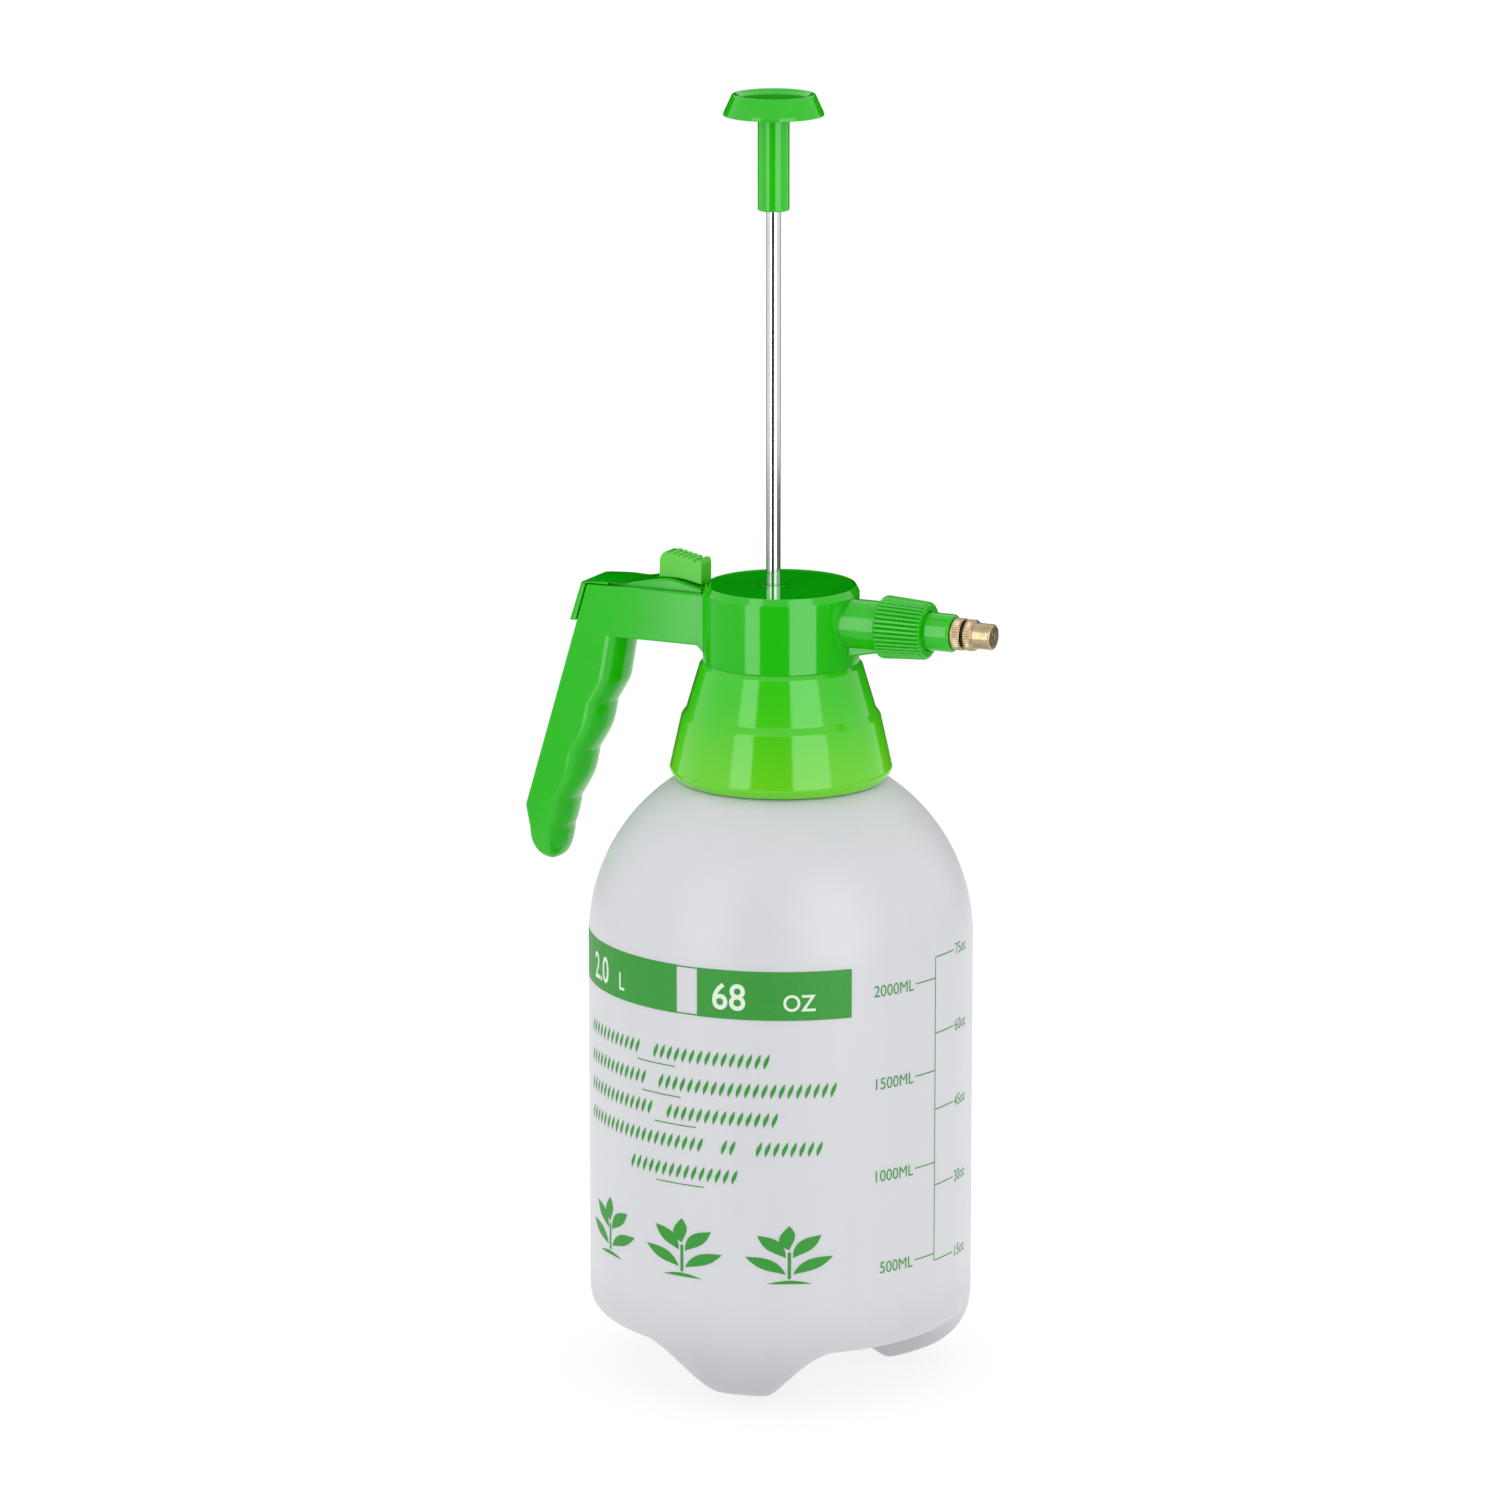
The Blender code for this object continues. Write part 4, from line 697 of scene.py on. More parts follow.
def drawScale(shape):
    p = printing
    x = arc(p["scaleAt"])
    numeral = p["numeral"]
    top = p["ounceLow"] + 4 * p["ounceStep"]
    stroke(shape, (x, p["ounceLow"]), (x, top), p["line"])
    for i in range(4):
        z = p["millilitreLow"] + i * p["millilitreStep"]
        stroke(shape, (x - arc(8.9), z), (x - p["line"] / 2 - 0.02, z), p["line"])
        lettered(shape, f"{500 * (i + 1)}ML", numeral, x - arc(9.6), z - numeral / 2, 0.9, "RIGHT")
    for i in range(5):
        z = p["ounceLow"] + i * p["ounceStep"]
        stroke(shape, (x + p["line"] / 2 + 0.02, z), (x + arc(10.4), z), p["line"])
        lettered(shape, f"{15 * (i + 1)}oz", numeral, x + arc(11.2), z - numeral / 2, 0.9)


def makePrint():
    ink = bmesh.new()
    drawBand(ink)
    drawRows(ink)
    drawSprigs(ink)
    drawScale(ink)
    wrapped("printed_marks", ink, printing["proud"], greenInk)
    marks = bmesh.new()
    base = printing["bandLow"] + 3.4
    bold = printing["bold"]
    lettered(marks, "2.0", 9.6, arc(-73.5), base, 0.82, bold=bold)
    lettered(marks, "L", 6.4, arc(-56.5), base, 0.82, bold=bold)
    lettered(marks, "68", 9.6, arc(-20.8), base, 0.95, bold=bold)
    lettered(marks, "OZ", 6.0, arc(0.5), base, 0.95, bold=bold)
    wrapped("printed_capacity", marks, printing["proud"] * 2, whiteInk)


makePrint()
print("print made")

# ---- screw collar

collar = {"bottomReach": 2.1, "stepHeight": 235.4, "stepRadius": 34.9, "waistRadius": 33.2,
          "topRadius": 28.3, "steps": 192, "bore": 31.8, "neckHole": 26.3, "boreTop": 240.8}


def makeCollar():
    c = collar
    low, high = span("screw_collar")
    r, bottom, top, step = high.x, low.z, high.z, c["stepHeight"]
    outline = roundCorners([
        (c["neckHole"], top, 0.3), (c["topRadius"] - 1.0, top, 0.2),
        (c["topRadius"] + 0.2, top - 1.3, 0.3), (c["waistRadius"], step + 2.5, 0.35),
        (c["stepRadius"], step + 0.1, 0.45), (r, bottom + 3.2, 1.2),
        (r - c["bottomReach"], bottom, 1.1), (c["bore"], bottom, 0.5), (c["bore"], c["boreTop"]),
        (c["neckHole"], c["boreTop"]),
    ], 6)
    made = turned("swivel_collar", outline, c["steps"])
    finished(made, collarPlastic, "collar", "green_plastic", "screw_collar")


makeCollar()

# ---- head: cylinder, spout, arm and grip in one moulding

head = {"radius": 27.3, "rim": 1.2, "chamfer": 2.4, "cavity": 23.4, "spigot": 26.0,
        "bottom": 255.0, "spigotLow": 241.1, "deckTop": 275.0, "deck": 2.5, "around": 216,
        "armWidth": 20.0, "armTop": 277.6, "armBottom": 259.3, "armBack": -70.7, "slope": 0.2995,
        "channelWidth": 16.0, "channelFloor": 269.0, "channelBack": -66.5, "gusset": 3.0}
grip = {"top": 262.0, "lobeTop": 243.0, "lobeX": -59.7, "lobePitch": 18.1, "lobeDepth": 1.5,
        "slope": 0.398, "round": 5.7, "heel": 195.0, "toe": 187.0, "tip": 175.6, "inset": 0.04}
spout = {"radius": 8.7, "endX": 39.1, "threadRadius": 8.2, "tipX": 50.0, "bore": 3.0,
         "axisZ": 270.4}
pumpX = (span("plunger_rod")[0].x + span("plunger_rod")[1].x) / 2
suctionX = (span("dip_tube")[0].x + span("dip_tube")[1].x) / 2
valveX = (span("valve_stem")[0].x + span("valve_stem")[1].x) / 2
headTop = span("head_body")[1].z
pivotX = (span("lever_pin")[0].x + span("lever_pin")[1].x) / 2
pivotZ = (span("lever_pin")[0].z + span("lever_pin")[1].z) / 2


def gripFront(z):
    # finger side: shallow lobes down a slope
    drop = grip["lobeTop"] - z
    if drop <= 0:
        return grip["lobeX"] - 0.18 * drop
    dip = 1 - abs(math.cos(math.pi * drop / grip["lobePitch"]))
    dip = dip ** 0.85
    return grip["lobeX"] - grip["slope"] * drop - grip["lobeDepth"] * dip


def gripBack(z):
    return head["armBack"] - head["slope"] * (head["armTop"] - z)


def gripSlice(shape, back, front, halfWidth, z):
    # square at the back with rounded corners, an ellipse at the fingers
    depth = min(grip["round"], 0.55 * (front - back))
    corner = min(1.2, 0.3 * (front - back))
    points = []
    for i in range(7):
        turn = math.pi / 2 * i / 6
        points.append((back + corner - corner * math.cos(turn),
                       halfWidth - corner + corner * math.sin(turn)))
    for i in range(33):
        turn = math.pi / 2 - math.pi * i / 32
        points.append((front - depth + depth * math.cos(turn), halfWidth * math.sin(turn)))
    points += [(x, -y) for x, y in reversed(points[:7])]
    return [shape.verts.new((x, y, z)) for x, y in points]


def makeGrip():
    g = grip
    half = head["armWidth"] / 2 - g["inset"]
    shape = bmesh.new()
    rings = []
    for i in range(101):
        z = g["top"] + (g["heel"] - g["top"]) * i / 100
        rings.append(gripSlice(shape, gripBack(z) + g["inset"], gripFront(z), half, z))
    heelX = gripBack(g["heel"]) + g["inset"]
    toeBack = heelX + 1.6
    for i in range(1, 11):
        share = i / 10
        z = g["heel"] + (g["toe"] - g["heel"]) * share
        rings.append(gripSlice(shape, heelX + 1.6 * share, gripFront(z), half, z))
    toeFront = gripFront(g["toe"])
    middle = (toeBack + toeFront) / 2 + 0.8
    for i in range(1, 19):
        turn = math.pi / 2 * i / 18.6
        z = g["toe"] - (g["toe"] - g["tip"]) * math.sin(turn)
        shrink = math.cos(turn)
        rings.append(gripSlice(shape, middle + (toeBack - middle) * shrink,
                               middle + (toeFront - middle) * shrink,
                               half * (0.25 + 0.75 * shrink ** 0.8), z))
    skinned(shape, rings)
    shape.faces.new(rings[0][::-1])
    shape.faces.new(rings[-1])
    return placed("grip_form", shape)


def makeHead():
    h = head
    r, top, bottom = h["radius"], headTop, h["bottom"]
    recess = r - h["rim"] - 0.3
    barrelHole = 12.8
    outline = roundCorners([
        (barrelHole, h["deckTop"]), (recess, h["deckTop"]), (recess, top, 0.12),
        (r - h["rim"], top, 0.15), (r, top - h["chamfer"], 0.2), (r, bottom, 0.35),
        (h["spigot"], bottom), (h["spigot"], h["spigotLow"], 0.4), (h["cavity"], h["spigotLow"]),
        (h["cavity"], h["deckTop"] - h["deck"], 0.6), (barrelHole, h["deckTop"] - h["deck"]),
    ], 5)
    # the deck's hole follows the pump, which stands off the bottle's axis
    body = turned("head_moulding", [(x, z) for x, z in outline], h["around"])
    for vert in body.data.vertices:
        away = math.hypot(vert.co.x - axisX, vert.co.y) / mm
        if away < barrelHole + 0.2:
            vert.co.x += pumpX * mm
    insideX = -r + 6
    cheek = [(gripFront(z) - grip["round"], z) for z in
             [grip["heel"] + (h["armBottom"] - grip["heel"]) * i / 60 for i in range(1, 61)]]
    arm = plate("arm_form", [
        (h["armBack"], h["armTop"]), (gripBack(grip["heel"]), grip["heel"])] + cheek + [
        (-r - 0.8, h["armBottom"]), (-r - 0.8 + h["gusset"], h["armBottom"] - h["gusset"]),
        (insideX, h["armBottom"] - h["gusset"]), (insideX, h["armTop"])],
        h["armWidth"], bevel=0.8, segments=4)
    channel = block("channel_cut", (h["channelBack"], -h["channelWidth"] / 2, h["channelFloor"]),
                    (0, h["channelWidth"] / 2, h["armTop"] + 10))
    pinHole = turned("pin_cut", [(0, -9.2), (1.3, -9.2), (1.3, 9.2), (0, 9.2)], 32,
                     (pivotX, 0, pivotZ), "y")
    combined(arm, cut=(channel, pinHole))
    s = spout
    underZ = s["axisZ"] - s["radius"]
    tube = turned("spout_form", roundCorners([
        (0, 12), (s["radius"], 12), (s["radius"], s["endX"], 0.4), (s["threadRadius"], s["endX"]),
        (s["threadRadius"], s["tipX"], 0.5), (0, s["tipX"])], 5, closed=False), 128,
        (0, 0, s["axisZ"]), "x")
    rib = plate("rib_form", [
        (r - 4, underZ - 2.4), (r + 0.6, underZ - 2.4), (s["endX"] - 0.6, underZ - 0.2),
        (s["endX"] - 0.6, s["axisZ"] - 4), (r - 4, s["axisZ"] - 4)], 8, bevel=0.7, segments=4)
    core = turned("core_cut", [(0, 200), (h["cavity"], 200), (h["cavity"], 272.5), (0, 272.5)],
                  h["around"])
    combined(body, joined=(arm, makeGrip(), tube, rib))
    riser = block("riser_form", (-h["cavity"] - 1.0, -3.6, h["spigotLow"]),
                  (suctionX + 3.4, 3.6, 264.7), 0.3)
    combined(body, cut=(core,))
    low = h["spigotLow"] - 10
    riserCut = turned("riser_cut", [(0, 263.1), (1.2, 263.1), (1.2, h["spigotLow"] + 4.5),
                                    (2.9, h["spigotLow"] + 4.5), (2.9, low), (0, low)], 40,
                      (suctionX, 0, 0))
    valveCut = turned("valve_cut", [(0, 260.6), (3.4, 260.6), (3.4, 280), (0, 280)], 48,
                      (valveX, 0, 0))
    inletCut = turned("inlet_cut", [(0, valveX), (1.0, valveX), (1.0, suctionX + 0.5),
                                    (0, suctionX + 0.5)], 24, (0, 0, 262.0), "x")
    outletCut = turned("outlet_cut", [(0, valveX + 2.9), (2.0, valveX + 2.9), (2.0, -21.4),
                                      (0, -21.4)], 32, (0, 0, 266.7), "x")
    spoutCut = turned("spout_cut", [(0, 0), (s["bore"], 0), (s["bore"], s["tipX"] + 10),
                                    (0, s["tipX"] + 10)], 48, (0, 0, s["axisZ"]), "x")
    combined(body, joined=(riser,), cut=(riserCut, valveCut, inletCut, outletCut, spoutCut))
    finished(body, greenPlastic, "head", "green_plastic", "head_body")


makeHead()
print("head made")

# ---- pump cap, rod guide, barrel and valve foot

pumpHousing = {"capRadius": 25.5, "capThick": 4.0, "guideRadius": 4.6, "rodHole": 2.7,
               "barrelRadius": 12.5, "barrelBore": 11.0, "flange": 16.0, "flangeThick": 2.0}


def makeCap():
    p = pumpHousing
    low, high = span("pump_cap")
    hole = p["guideRadius"] + 0.3
    cap = turned("pump_cap_disc", roundCorners([
        (hole, high.z, 0.1), (p["capRadius"], high.z, 0.35), (p["capRadius"], low.z, 0.3),
        (hole, low.z)], 5), 192)
    for vert in cap.data.vertices:
        if math.hypot(vert.co.x - axisX, vert.co.y) / mm < hole + 0.2:
            vert.co.x += pumpX * mm
    finished(cap, darkGreenAndPaintedShade, "head", "dark_green_plastic", "pump_cap")
    guide = turned("rod_guide_bush", roundCorners([
        (p["rodHole"], high.z, 0.35), (p["guideRadius"], high.z, 0.12),
        (p["guideRadius"], low.z, 0.3), (p["rodHole"], low.z, 0.3)], 5), 96, (pumpX, 0, 0))
    finished(guide, darkGreenAndPaintedShade, "head", "dark_green_plastic", "rod_guide")


def makeBarrel():
    p = pumpHousing
    low, high = span("pump_barrel")
    outer, inner, seat = p["barrelRadius"], p["barrelBore"], high.z - p["flangeThick"]
    barrel = turned("pump_barrel_tube", roundCorners([
        (p["flange"], high.z, 0.4), (p["flange"], seat, 0.4), (outer, seat, 0.3),
        (outer, low.z, 0.3), (inner, low.z, 0.5), (inner, high.z, 0.6)], 5), 96, (pumpX, 0, 0))
    finished(barrel, acetal, "head", "white_plastic", "pump_barrel")
    footLow, footHigh = span("barrel_foot")
    bottom = footLow.z
    foot = turned("barrel_foot_cage", roundCorners([
        (1.6, footHigh.z, 0.2), (10.7, footHigh.z, 0.4), (10.7, low.z - 0.3),
        (outer, low.z - 0.3, 0.2), (outer, bottom, 0.8), (4.0, bottom, 0.3),
        (4.0, bottom + 1.5, 0.2), (8.5, bottom + 1.5, 0.3), (8.5, low.z - 1.5, 0.3),
        (1.6, low.z - 1.5, 0.2)], 5), 96, (pumpX, 0, 0))
    finished(foot, acetal, "head", "white_plastic", "barrel_foot")
    discLow, discHigh = span("check_valve_disc")
    disc = turned("check_disc", roundCorners([
        (0, discHigh.z), (7.2, discHigh.z, 0.3), (7.2, discLow.z, 0.3), (0, discLow.z)], 5,
        closed=False), 64, (pumpX, 0, 0))
    finished(disc, rubber, "check_valve", "black_rubber", "check_valve_disc")


makeCap()
makeBarrel()

# ---- plunger: knob, rod, piston, cup seal and nut

plunger = {"rod": 2.5, "stud": 1.6, "knob": 17.5, "knobTop": 14.5, "discHeight": 7.3, "stem": 5.5,
           "socket": 2.8, "piston": 10.6, "hole": 1.9, "nutAcross": 4.2}


def makePlunger():
    p = plunger
    knobLow, knobHigh = span("plunger_knob")
    top, disc, low = knobHigh.z, knobHigh.z - p["discHeight"], knobLow.z
    rodLow, rodHigh = span("plunger_rod")
    pistonLow, pistonHigh = span("piston")
    knob = turned("plunger_knob_turned", roundCorners([
        (0, top - 1.3), (p["knobTop"] - 2.4, top - 1.0, 0.5), (p["knobTop"] - 1.2, top, 0.45),
        (p["knobTop"] - 0.15, top, 0.45), (p["knob"] - 0.25, disc + 1.0, 0.5),
        (p["knob"], disc, 0.5), (p["stem"] + 0.7, disc, 0.3), (p["stem"], disc - 0.9, 0.4),
        (p["stem"], low + 0.4, 0.3), (p["stem"] - 0.4, low, 0.3), (p["socket"], low, 0.2),
        (p["socket"], rodHigh.z + 0.3), (0, rodHigh.z + 0.3)], 6, closed=False), 144,
        (pumpX, 0, 0))
    finished(knob, greenPlastic, "plunger", "green_plastic", "plunger_knob")
    rod = turned("plunger_rod_bar", roundCorners([
        (0, rodHigh.z), (p["rod"], rodHigh.z, 0.3), (p["rod"], pistonHigh.z + 0.3, 0.2),
        (p["stud"], pistonHigh.z + 0.3), (p["stud"], rodLow.z, 0.3), (0, rodLow.z)], 5,
        closed=False), 64, (pumpX, 0, 0))
    finished(rod, steel, "plunger", "polished_steel", "plunger_rod")
    r, high, bottom = p["piston"], pistonHigh.z, pistonLow.z
    piston = turned("piston_core", roundCorners([
        (r, high, 0.3), (r, high - 3.0, 0.2), (r - 2, high - 3.5, 0.4), (r - 2, bottom + 2.5, 0.4),
        (r, bottom + 2.0, 0.2), (r, bottom, 0.3), (p["hole"], bottom), (p["hole"], high)], 5),
        96, (pumpX, 0, 0))
    finished(piston, acetal, "plunger", "white_plastic", "piston")
    cupLow, cupHigh = span("piston_cup_seal")
    lip = (cupHigh.x - cupLow.x) / 2
    cup = turned("piston_cup", roundCorners([
        (r, cupHigh.z, 0.4), (lip, cupLow.z, 0.25), (r - 1.4, cupLow.z, 0.25),
        (r - 2, cupHigh.z - 1.6, 0.6), (p["hole"], cupHigh.z - 1.6), (p["hole"], cupHigh.z)], 5),
        96, (pumpX, 0, 0))
    finished(cup, rubber, "plunger", "black_rubber", "piston_cup_seal")
    nutLow, nutHigh = span("piston_nut")
    across = p["nutAcross"]
    nut = turned("piston_lock_nut", [(across, nutHigh.z), (across, nutLow.z),
                                     (p["hole"], nutLow.z), (p["hole"], nutHigh.z)], 6,
                 (pumpX, 0, 0), crease=20)
    chamfer = turned("nut_chamfer", roundCorners([
        (0, nutHigh.z), (across - 0.55, nutHigh.z), (across + 0.02, nutHigh.z - 0.5),
        (across + 0.02, nutLow.z + 0.5), (across - 0.55, nutLow.z), (0, nutLow.z)], 2,
        closed=False), 48, (pumpX, 0, 0))
    step = nut.modifiers.new("chamfer", "BOOLEAN")
    step.operation = "INTERSECT"
    step.object = chamfer
    frozen(nut)
    bpy.data.objects.remove(chamfer)
    smoothed(nut, 20)
    finished(nut, zincSteel, "plunger", "polished_steel", "piston_nut")


makePlunger()
print("pump made")

# ---- neck seals and suction line

seals = {"gasketInner": 27.0, "sealRadius": 30.8, "barrelHole": 13.1, "tubeHole": 2.9}
suction = {"adapter": 2.6, "flange": 4.1, "barb": 1.9, "adapterBore": 1.0, "tube": 3.0,
           "tubeBore": 2.2, "filter": 4.8, "slot": 0.6}


def makeSeals():
    low, high = span("neck_gasket")
    gasket = turned("neck_gasket_ring", roundCorners([
        (seals["gasketInner"], high.z, 0.3), (seals["sealRadius"] - 0.4, high.z, 0.3),
        (seals["sealRadius"] - 0.4, low.z, 0.3), (seals["gasketInner"], low.z, 0.3)], 4), 128)
    finished(gasket, rubber, "head", "black_rubber", "neck_gasket")
    low, high = span("seal_plate")
    r = high.x
    disc = turned("seal_plate_disc", roundCorners([
        (0, high.z), (r, high.z, 0.3), (r, low.z, 0.3), (0, low.z)], 4, closed=False), 128)
    cuts = [turned("plate_cut", [(0, low.z - 2), (hole, low.z - 2), (hole, high.z + 2),
                                 (0, high.z + 2)], 72, (x, 0, 0))
            for hole, x in ((seals["barrelHole"], pumpX), (seals["tubeHole"], suctionX))]
    combined(disc, cut=cuts)
    finished(disc, greenPlastic, "head", "green_plastic", "seal_plate")


def makeSuction():
    s = suction
    low, high = span("tube_adapter")
    tubeLow, tubeHigh = span("dip_tube")
    seat = tubeHigh.z + 0.3
    barbs = []
    for i in range(3):
        at = seat - 1.4 - 2.2 * i
        barbs += [(s["barb"] - 0.25, at), (s["barb"], at - 0.15, 0.08), (s["barb"] - 0.2, at - 1.9)]
    adapter = turned("tube_adapter_barb", roundCorners([
        (s["adapter"], high.z, 0.3), (s["adapter"], seat + 1.6), (s["flange"], seat + 1.6, 0.3),
        (s["flange"], seat, 0.3), (s["barb"] - 0.2, seat)] + barbs + [
        (s["barb"] - 0.4, low.z), (s["adapterBore"], low.z), (s["adapterBore"], high.z)], 4), 64,
        (suctionX, 0, 0))
    finished(adapter, acetal, "head", "white_plastic", "tube_adapter")
    tube = turned("dip_tube_line", roundCorners([
        (s["tubeBore"], tubeHigh.z, 0.1), (s["tube"], tubeHigh.z, 0.15), (s["tube"], tubeLow.z, 0.15),
        (s["tubeBore"], tubeLow.z, 0.1)], 3), 64, (suctionX, 0, 0))
    finished(tube, clearTube, "head", "clear_tube_plastic", "dip_tube")
    low, high = span("dip_filter")
    sleeve = s["tube"] + 0.3
    strainer = turned("dip_filter_cage", roundCorners([
        (s["filter"], high.z, 0.3), (s["filter"], low.z + 0.8, 0.3), (s["filter"] - 0.8, low.z, 0.3),
        (0, low.z), (0, low.z + 1.2), (s["tube"] - 0.5, low.z + 1.2), (s["tube"] - 0.5,
        tubeLow.z - 0.3), (sleeve, tubeLow.z - 0.3), (sleeve, high.z, 0.3)], 4), 72,
        (suctionX, 0, 0))
    cuts = [block("slot_cut", (suctionX - x, -y, low.z + 1.8), (suctionX + x, y, low.z + 3.2))
            for x, y in ((10, s["slot"]), (s["slot"], 10))]
    combined(strainer, cut=cuts)
    finished(strainer, acetal, "head", "white_plastic", "dip_filter")


makeSeals()
makeSuction()

# ---- trigger valve and delivery tube

valve = {"stem": 0.9, "head": 2.6, "bushOuter": 3.1, "bushFlange": 4.6, "bushHole": 1.1,
         "bushBore": 1.8, "springRadius": 2.1, "wire": 0.25, "turns": 4,
         "springKeep": 0.4}


def wireCurve(name, route, radius, resolution=4):
    curve = bpy.data.curves.new(name, "CURVE")
    curve.dimensions = "3D"
    curve.bevel_depth = radius * mm
    curve.bevel_resolution = resolution
    curve.use_fill_caps = True
    line = curve.splines.new("POLY")
    line.points.add(len(route) - 1)
    for point, place in zip(line.points, route):
        point.co = (*(Vector(place) * mm + Vector((axisX, 0, 0))), 1.0)
    made = bpy.data.objects.new(name, curve)
    pieces.objects.link(made)
    frozenMesh = bpy.data.meshes.new_from_object(
        made.evaluated_get(bpy.context.evaluated_depsgraph_get()))
    bpy.data.objects.remove(made)
    made = bpy.data.objects.new(name, frozenMesh)
    pieces.objects.link(made)
    smoothed(made, 50)
    return made


def makeValve():
    v = valve
    low, high = span("valve_bush")
    floor = head["channelFloor"]
    bush = turned("valve_bush_turned", roundCorners([
        (v["bushOuter"], low.z, 0.15), (v["bushOuter"], floor + 0.3), (v["bushFlange"], floor + 0.3,
        0.15), (v["bushFlange"], high.z, 0.2), (v["bushHole"], high.z, 0.15),
        (v["bushHole"], floor - 0.5), (v["bushBore"], floor - 0.8), (v["bushBore"], low.z)], 4),
        64, (valveX, 0, 0))
    finished(bush, brass, "head", "turned_brass", "valve_bush")
    low, high = span("valve_stem")
    stem = turned("valve_stem_pin", roundCorners([
        (0, high.z), (v["head"], high.z, 0.4), (v["head"], high.z - 1.2, 0.15),
        (v["stem"], high.z - 1.2, 0.1), (v["stem"], low.z, 0.2), (0, low.z)], 4, closed=False),
        48, (valveX, 0, 0))
    finished(stem, brass, "valve", "turned_brass", "valve_stem")
    low, high = span("valve_disc")
    disc = turned("valve_disc_ring", roundCorners([
        (v["stem"] + 0.15, high.z, 0.1), (v["head"], high.z, 0.2), (v["head"], low.z, 0.2),
        (v["stem"] + 0.15, low.z, 0.1)], 4), 48, (valveX, 0, 0))
    finished(disc, rubber, "valve", "black_rubber", "valve_disc")
    low, high = span("valve_spring")
    perTurn = 24
    count = v["turns"] * perTurn
    rise = high.z - low.z - 2 * v["wire"]
    route = [(valveX + v["springRadius"] * math.cos(math.tau * i / perTurn),
              v["springRadius"] * math.sin(math.tau * i / perTurn),
              low.z + v["wire"] + rise * i / count) for i in range(count + 1)]
    spring = finished(wireCurve("valve_spring_coil", route, v["wire"]), zincSteel, "head",
                      "polished_steel", "valve_spring")
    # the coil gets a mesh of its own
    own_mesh(spring)
    pinLow, pinHigh = span("lever_pin")
    pin = turned("lever_pin_bar", roundCorners([
        (0, pinLow.y), (1.1, pinLow.y, 0.25), (1.1, pinHigh.y, 0.25), (0, pinHigh.y)], 4,
        closed=False), 48, (pivotX, 0, pivotZ), "y")
    finished(pin, zincSteel, "head", "polished_steel", "lever_pin")


def makeDelivery():
    low, high = span("delivery_tube")
    lane = head["cavity"] / 2 + pumpHousing["barrelRadius"] / 2 - pumpX / 2 - 0.7
    outletZ = 266.7
    route = [(low.x, 0, outletZ), (-22.5, 0, outletZ)]
    for i in range(43):
        share = i / 42
        turn = math.radians(160 + (12 - 160) * share)
        route.append(((lane + 1.2) * math.cos(turn), lane * math.sin(turn),
                      outletZ + (spout["axisZ"] - outletZ) * share))
    route += [(head["cavity"] - 4.0, 0.6, spout["axisZ"]), (high.x, 0, spout["axisZ"])]
    tube = wireCurve("delivery_tube_line", route, 1.7, 6)
    finished(tube, clearTube, "head", "clear_tube_plastic", "delivery_tube")


makeValve()
makeDelivery()
print("valve made")

# ---- trigger lever and thumb slide

# the last four entries shape the painted shade sheet on the lever's top
lever = {"width": 15.2, "under": 276.6, "frontRadius": 28.3, "tailLow": 264.1, "tail": 2.2,
         "gap": 0.4, "slotHalf": 1.8, "round": 0.7, "shadeFrom": -70.9, "shadeTo": -46.4,
         "shadeHalf": 9.7, "shadeCrown": 0.6}
thumb = {"width": 8.0, "seatGap": 0.2, "ribs": 5, "pitch": 1.9, "ribHigh": 0.55, "round": 0.6,
         "slotClear": 0.3, "travel": 2.5}


def leverTop(x):
    rear = 0.8 * math.exp(-(((x + 64) / 9) ** 2))
    crest = 3.4 * math.exp(-(((x + 41.5) / 12.5) ** 2))
    return head["armTop"] + 0.2 + rear + crest


def thumbSeat(x):
    return max(leverTop(x), leverTop(x - thumb["travel"])) + thumb["seatGap"]


def topLine(first, last, steps):
    return [(first + (last - first) * i / steps, leverTop(first + (last - first) * i / steps))
            for i in range(steps + 1)]


def makeLever():
    v = lever
    back = head["channelBack"] + v["gap"]
    front = -v["frontRadius"] + 3
    tailX = head["armBack"] - 0.2
    under = head["armTop"] + 0.3
    rear = pivotX - 0.5
    body = plate("trigger_lever_moulding", topLine(back, front, 60) + [
        (front, v["under"]), (back, v["under"])], v["width"], bevel=v["round"], onlySides=True)
    tail = plate("tail_form", [
        (gripBack(v["tailLow"]) - v["gap"], v["tailLow"]),
        (gripBack(v["tailLow"]) - v["gap"] - v["tail"], v["tailLow"]),
        (gripBack(under) - v["gap"] - v["tail"] * 0.8, under + 0.2),
    ] + topLine(tailX, rear, 20) + [(rear, under), (gripBack(under) - v["gap"], under)],
        head["armWidth"], bevel=v["round"], onlySides=True)
    lug = turned("lug_form", [(0, -4), (3.4, -4), (3.4, 4), (0, 4)], 48, (pivotX, 0, pivotZ), "y")
    web = block("web_form", (pivotX - 3, -4, pivotZ), (pivotX + 3, 4, v["under"] + 1))
    slide = span("thumb_slide")
    cuts = [
        turned("pin_cut", [(0, -20), (1.3, -20), (1.3, 20), (0, 20)], 32, (pivotX, 0, pivotZ), "y"),
        block("slot_cut", (slide[0].x + 2 - thumb["travel"] - 0.3, -v["slotHalf"], v["under"] - 10),
              (slide[1].x - 2 + 0.3, v["slotHalf"], 300)),
        turned("end_cut", [(0, 250), (v["frontRadius"], 250), (v["frontRadius"], 300), (0, 300)],
               216),
    ]
    combined(body, joined=(tail, web, lug), cut=cuts)
    finished(body, greenPlastic, "trigger", "green_plastic", "trigger_lever")
    # a painted shade sheet goes on the lever's top
    makePaintedLeverShade()


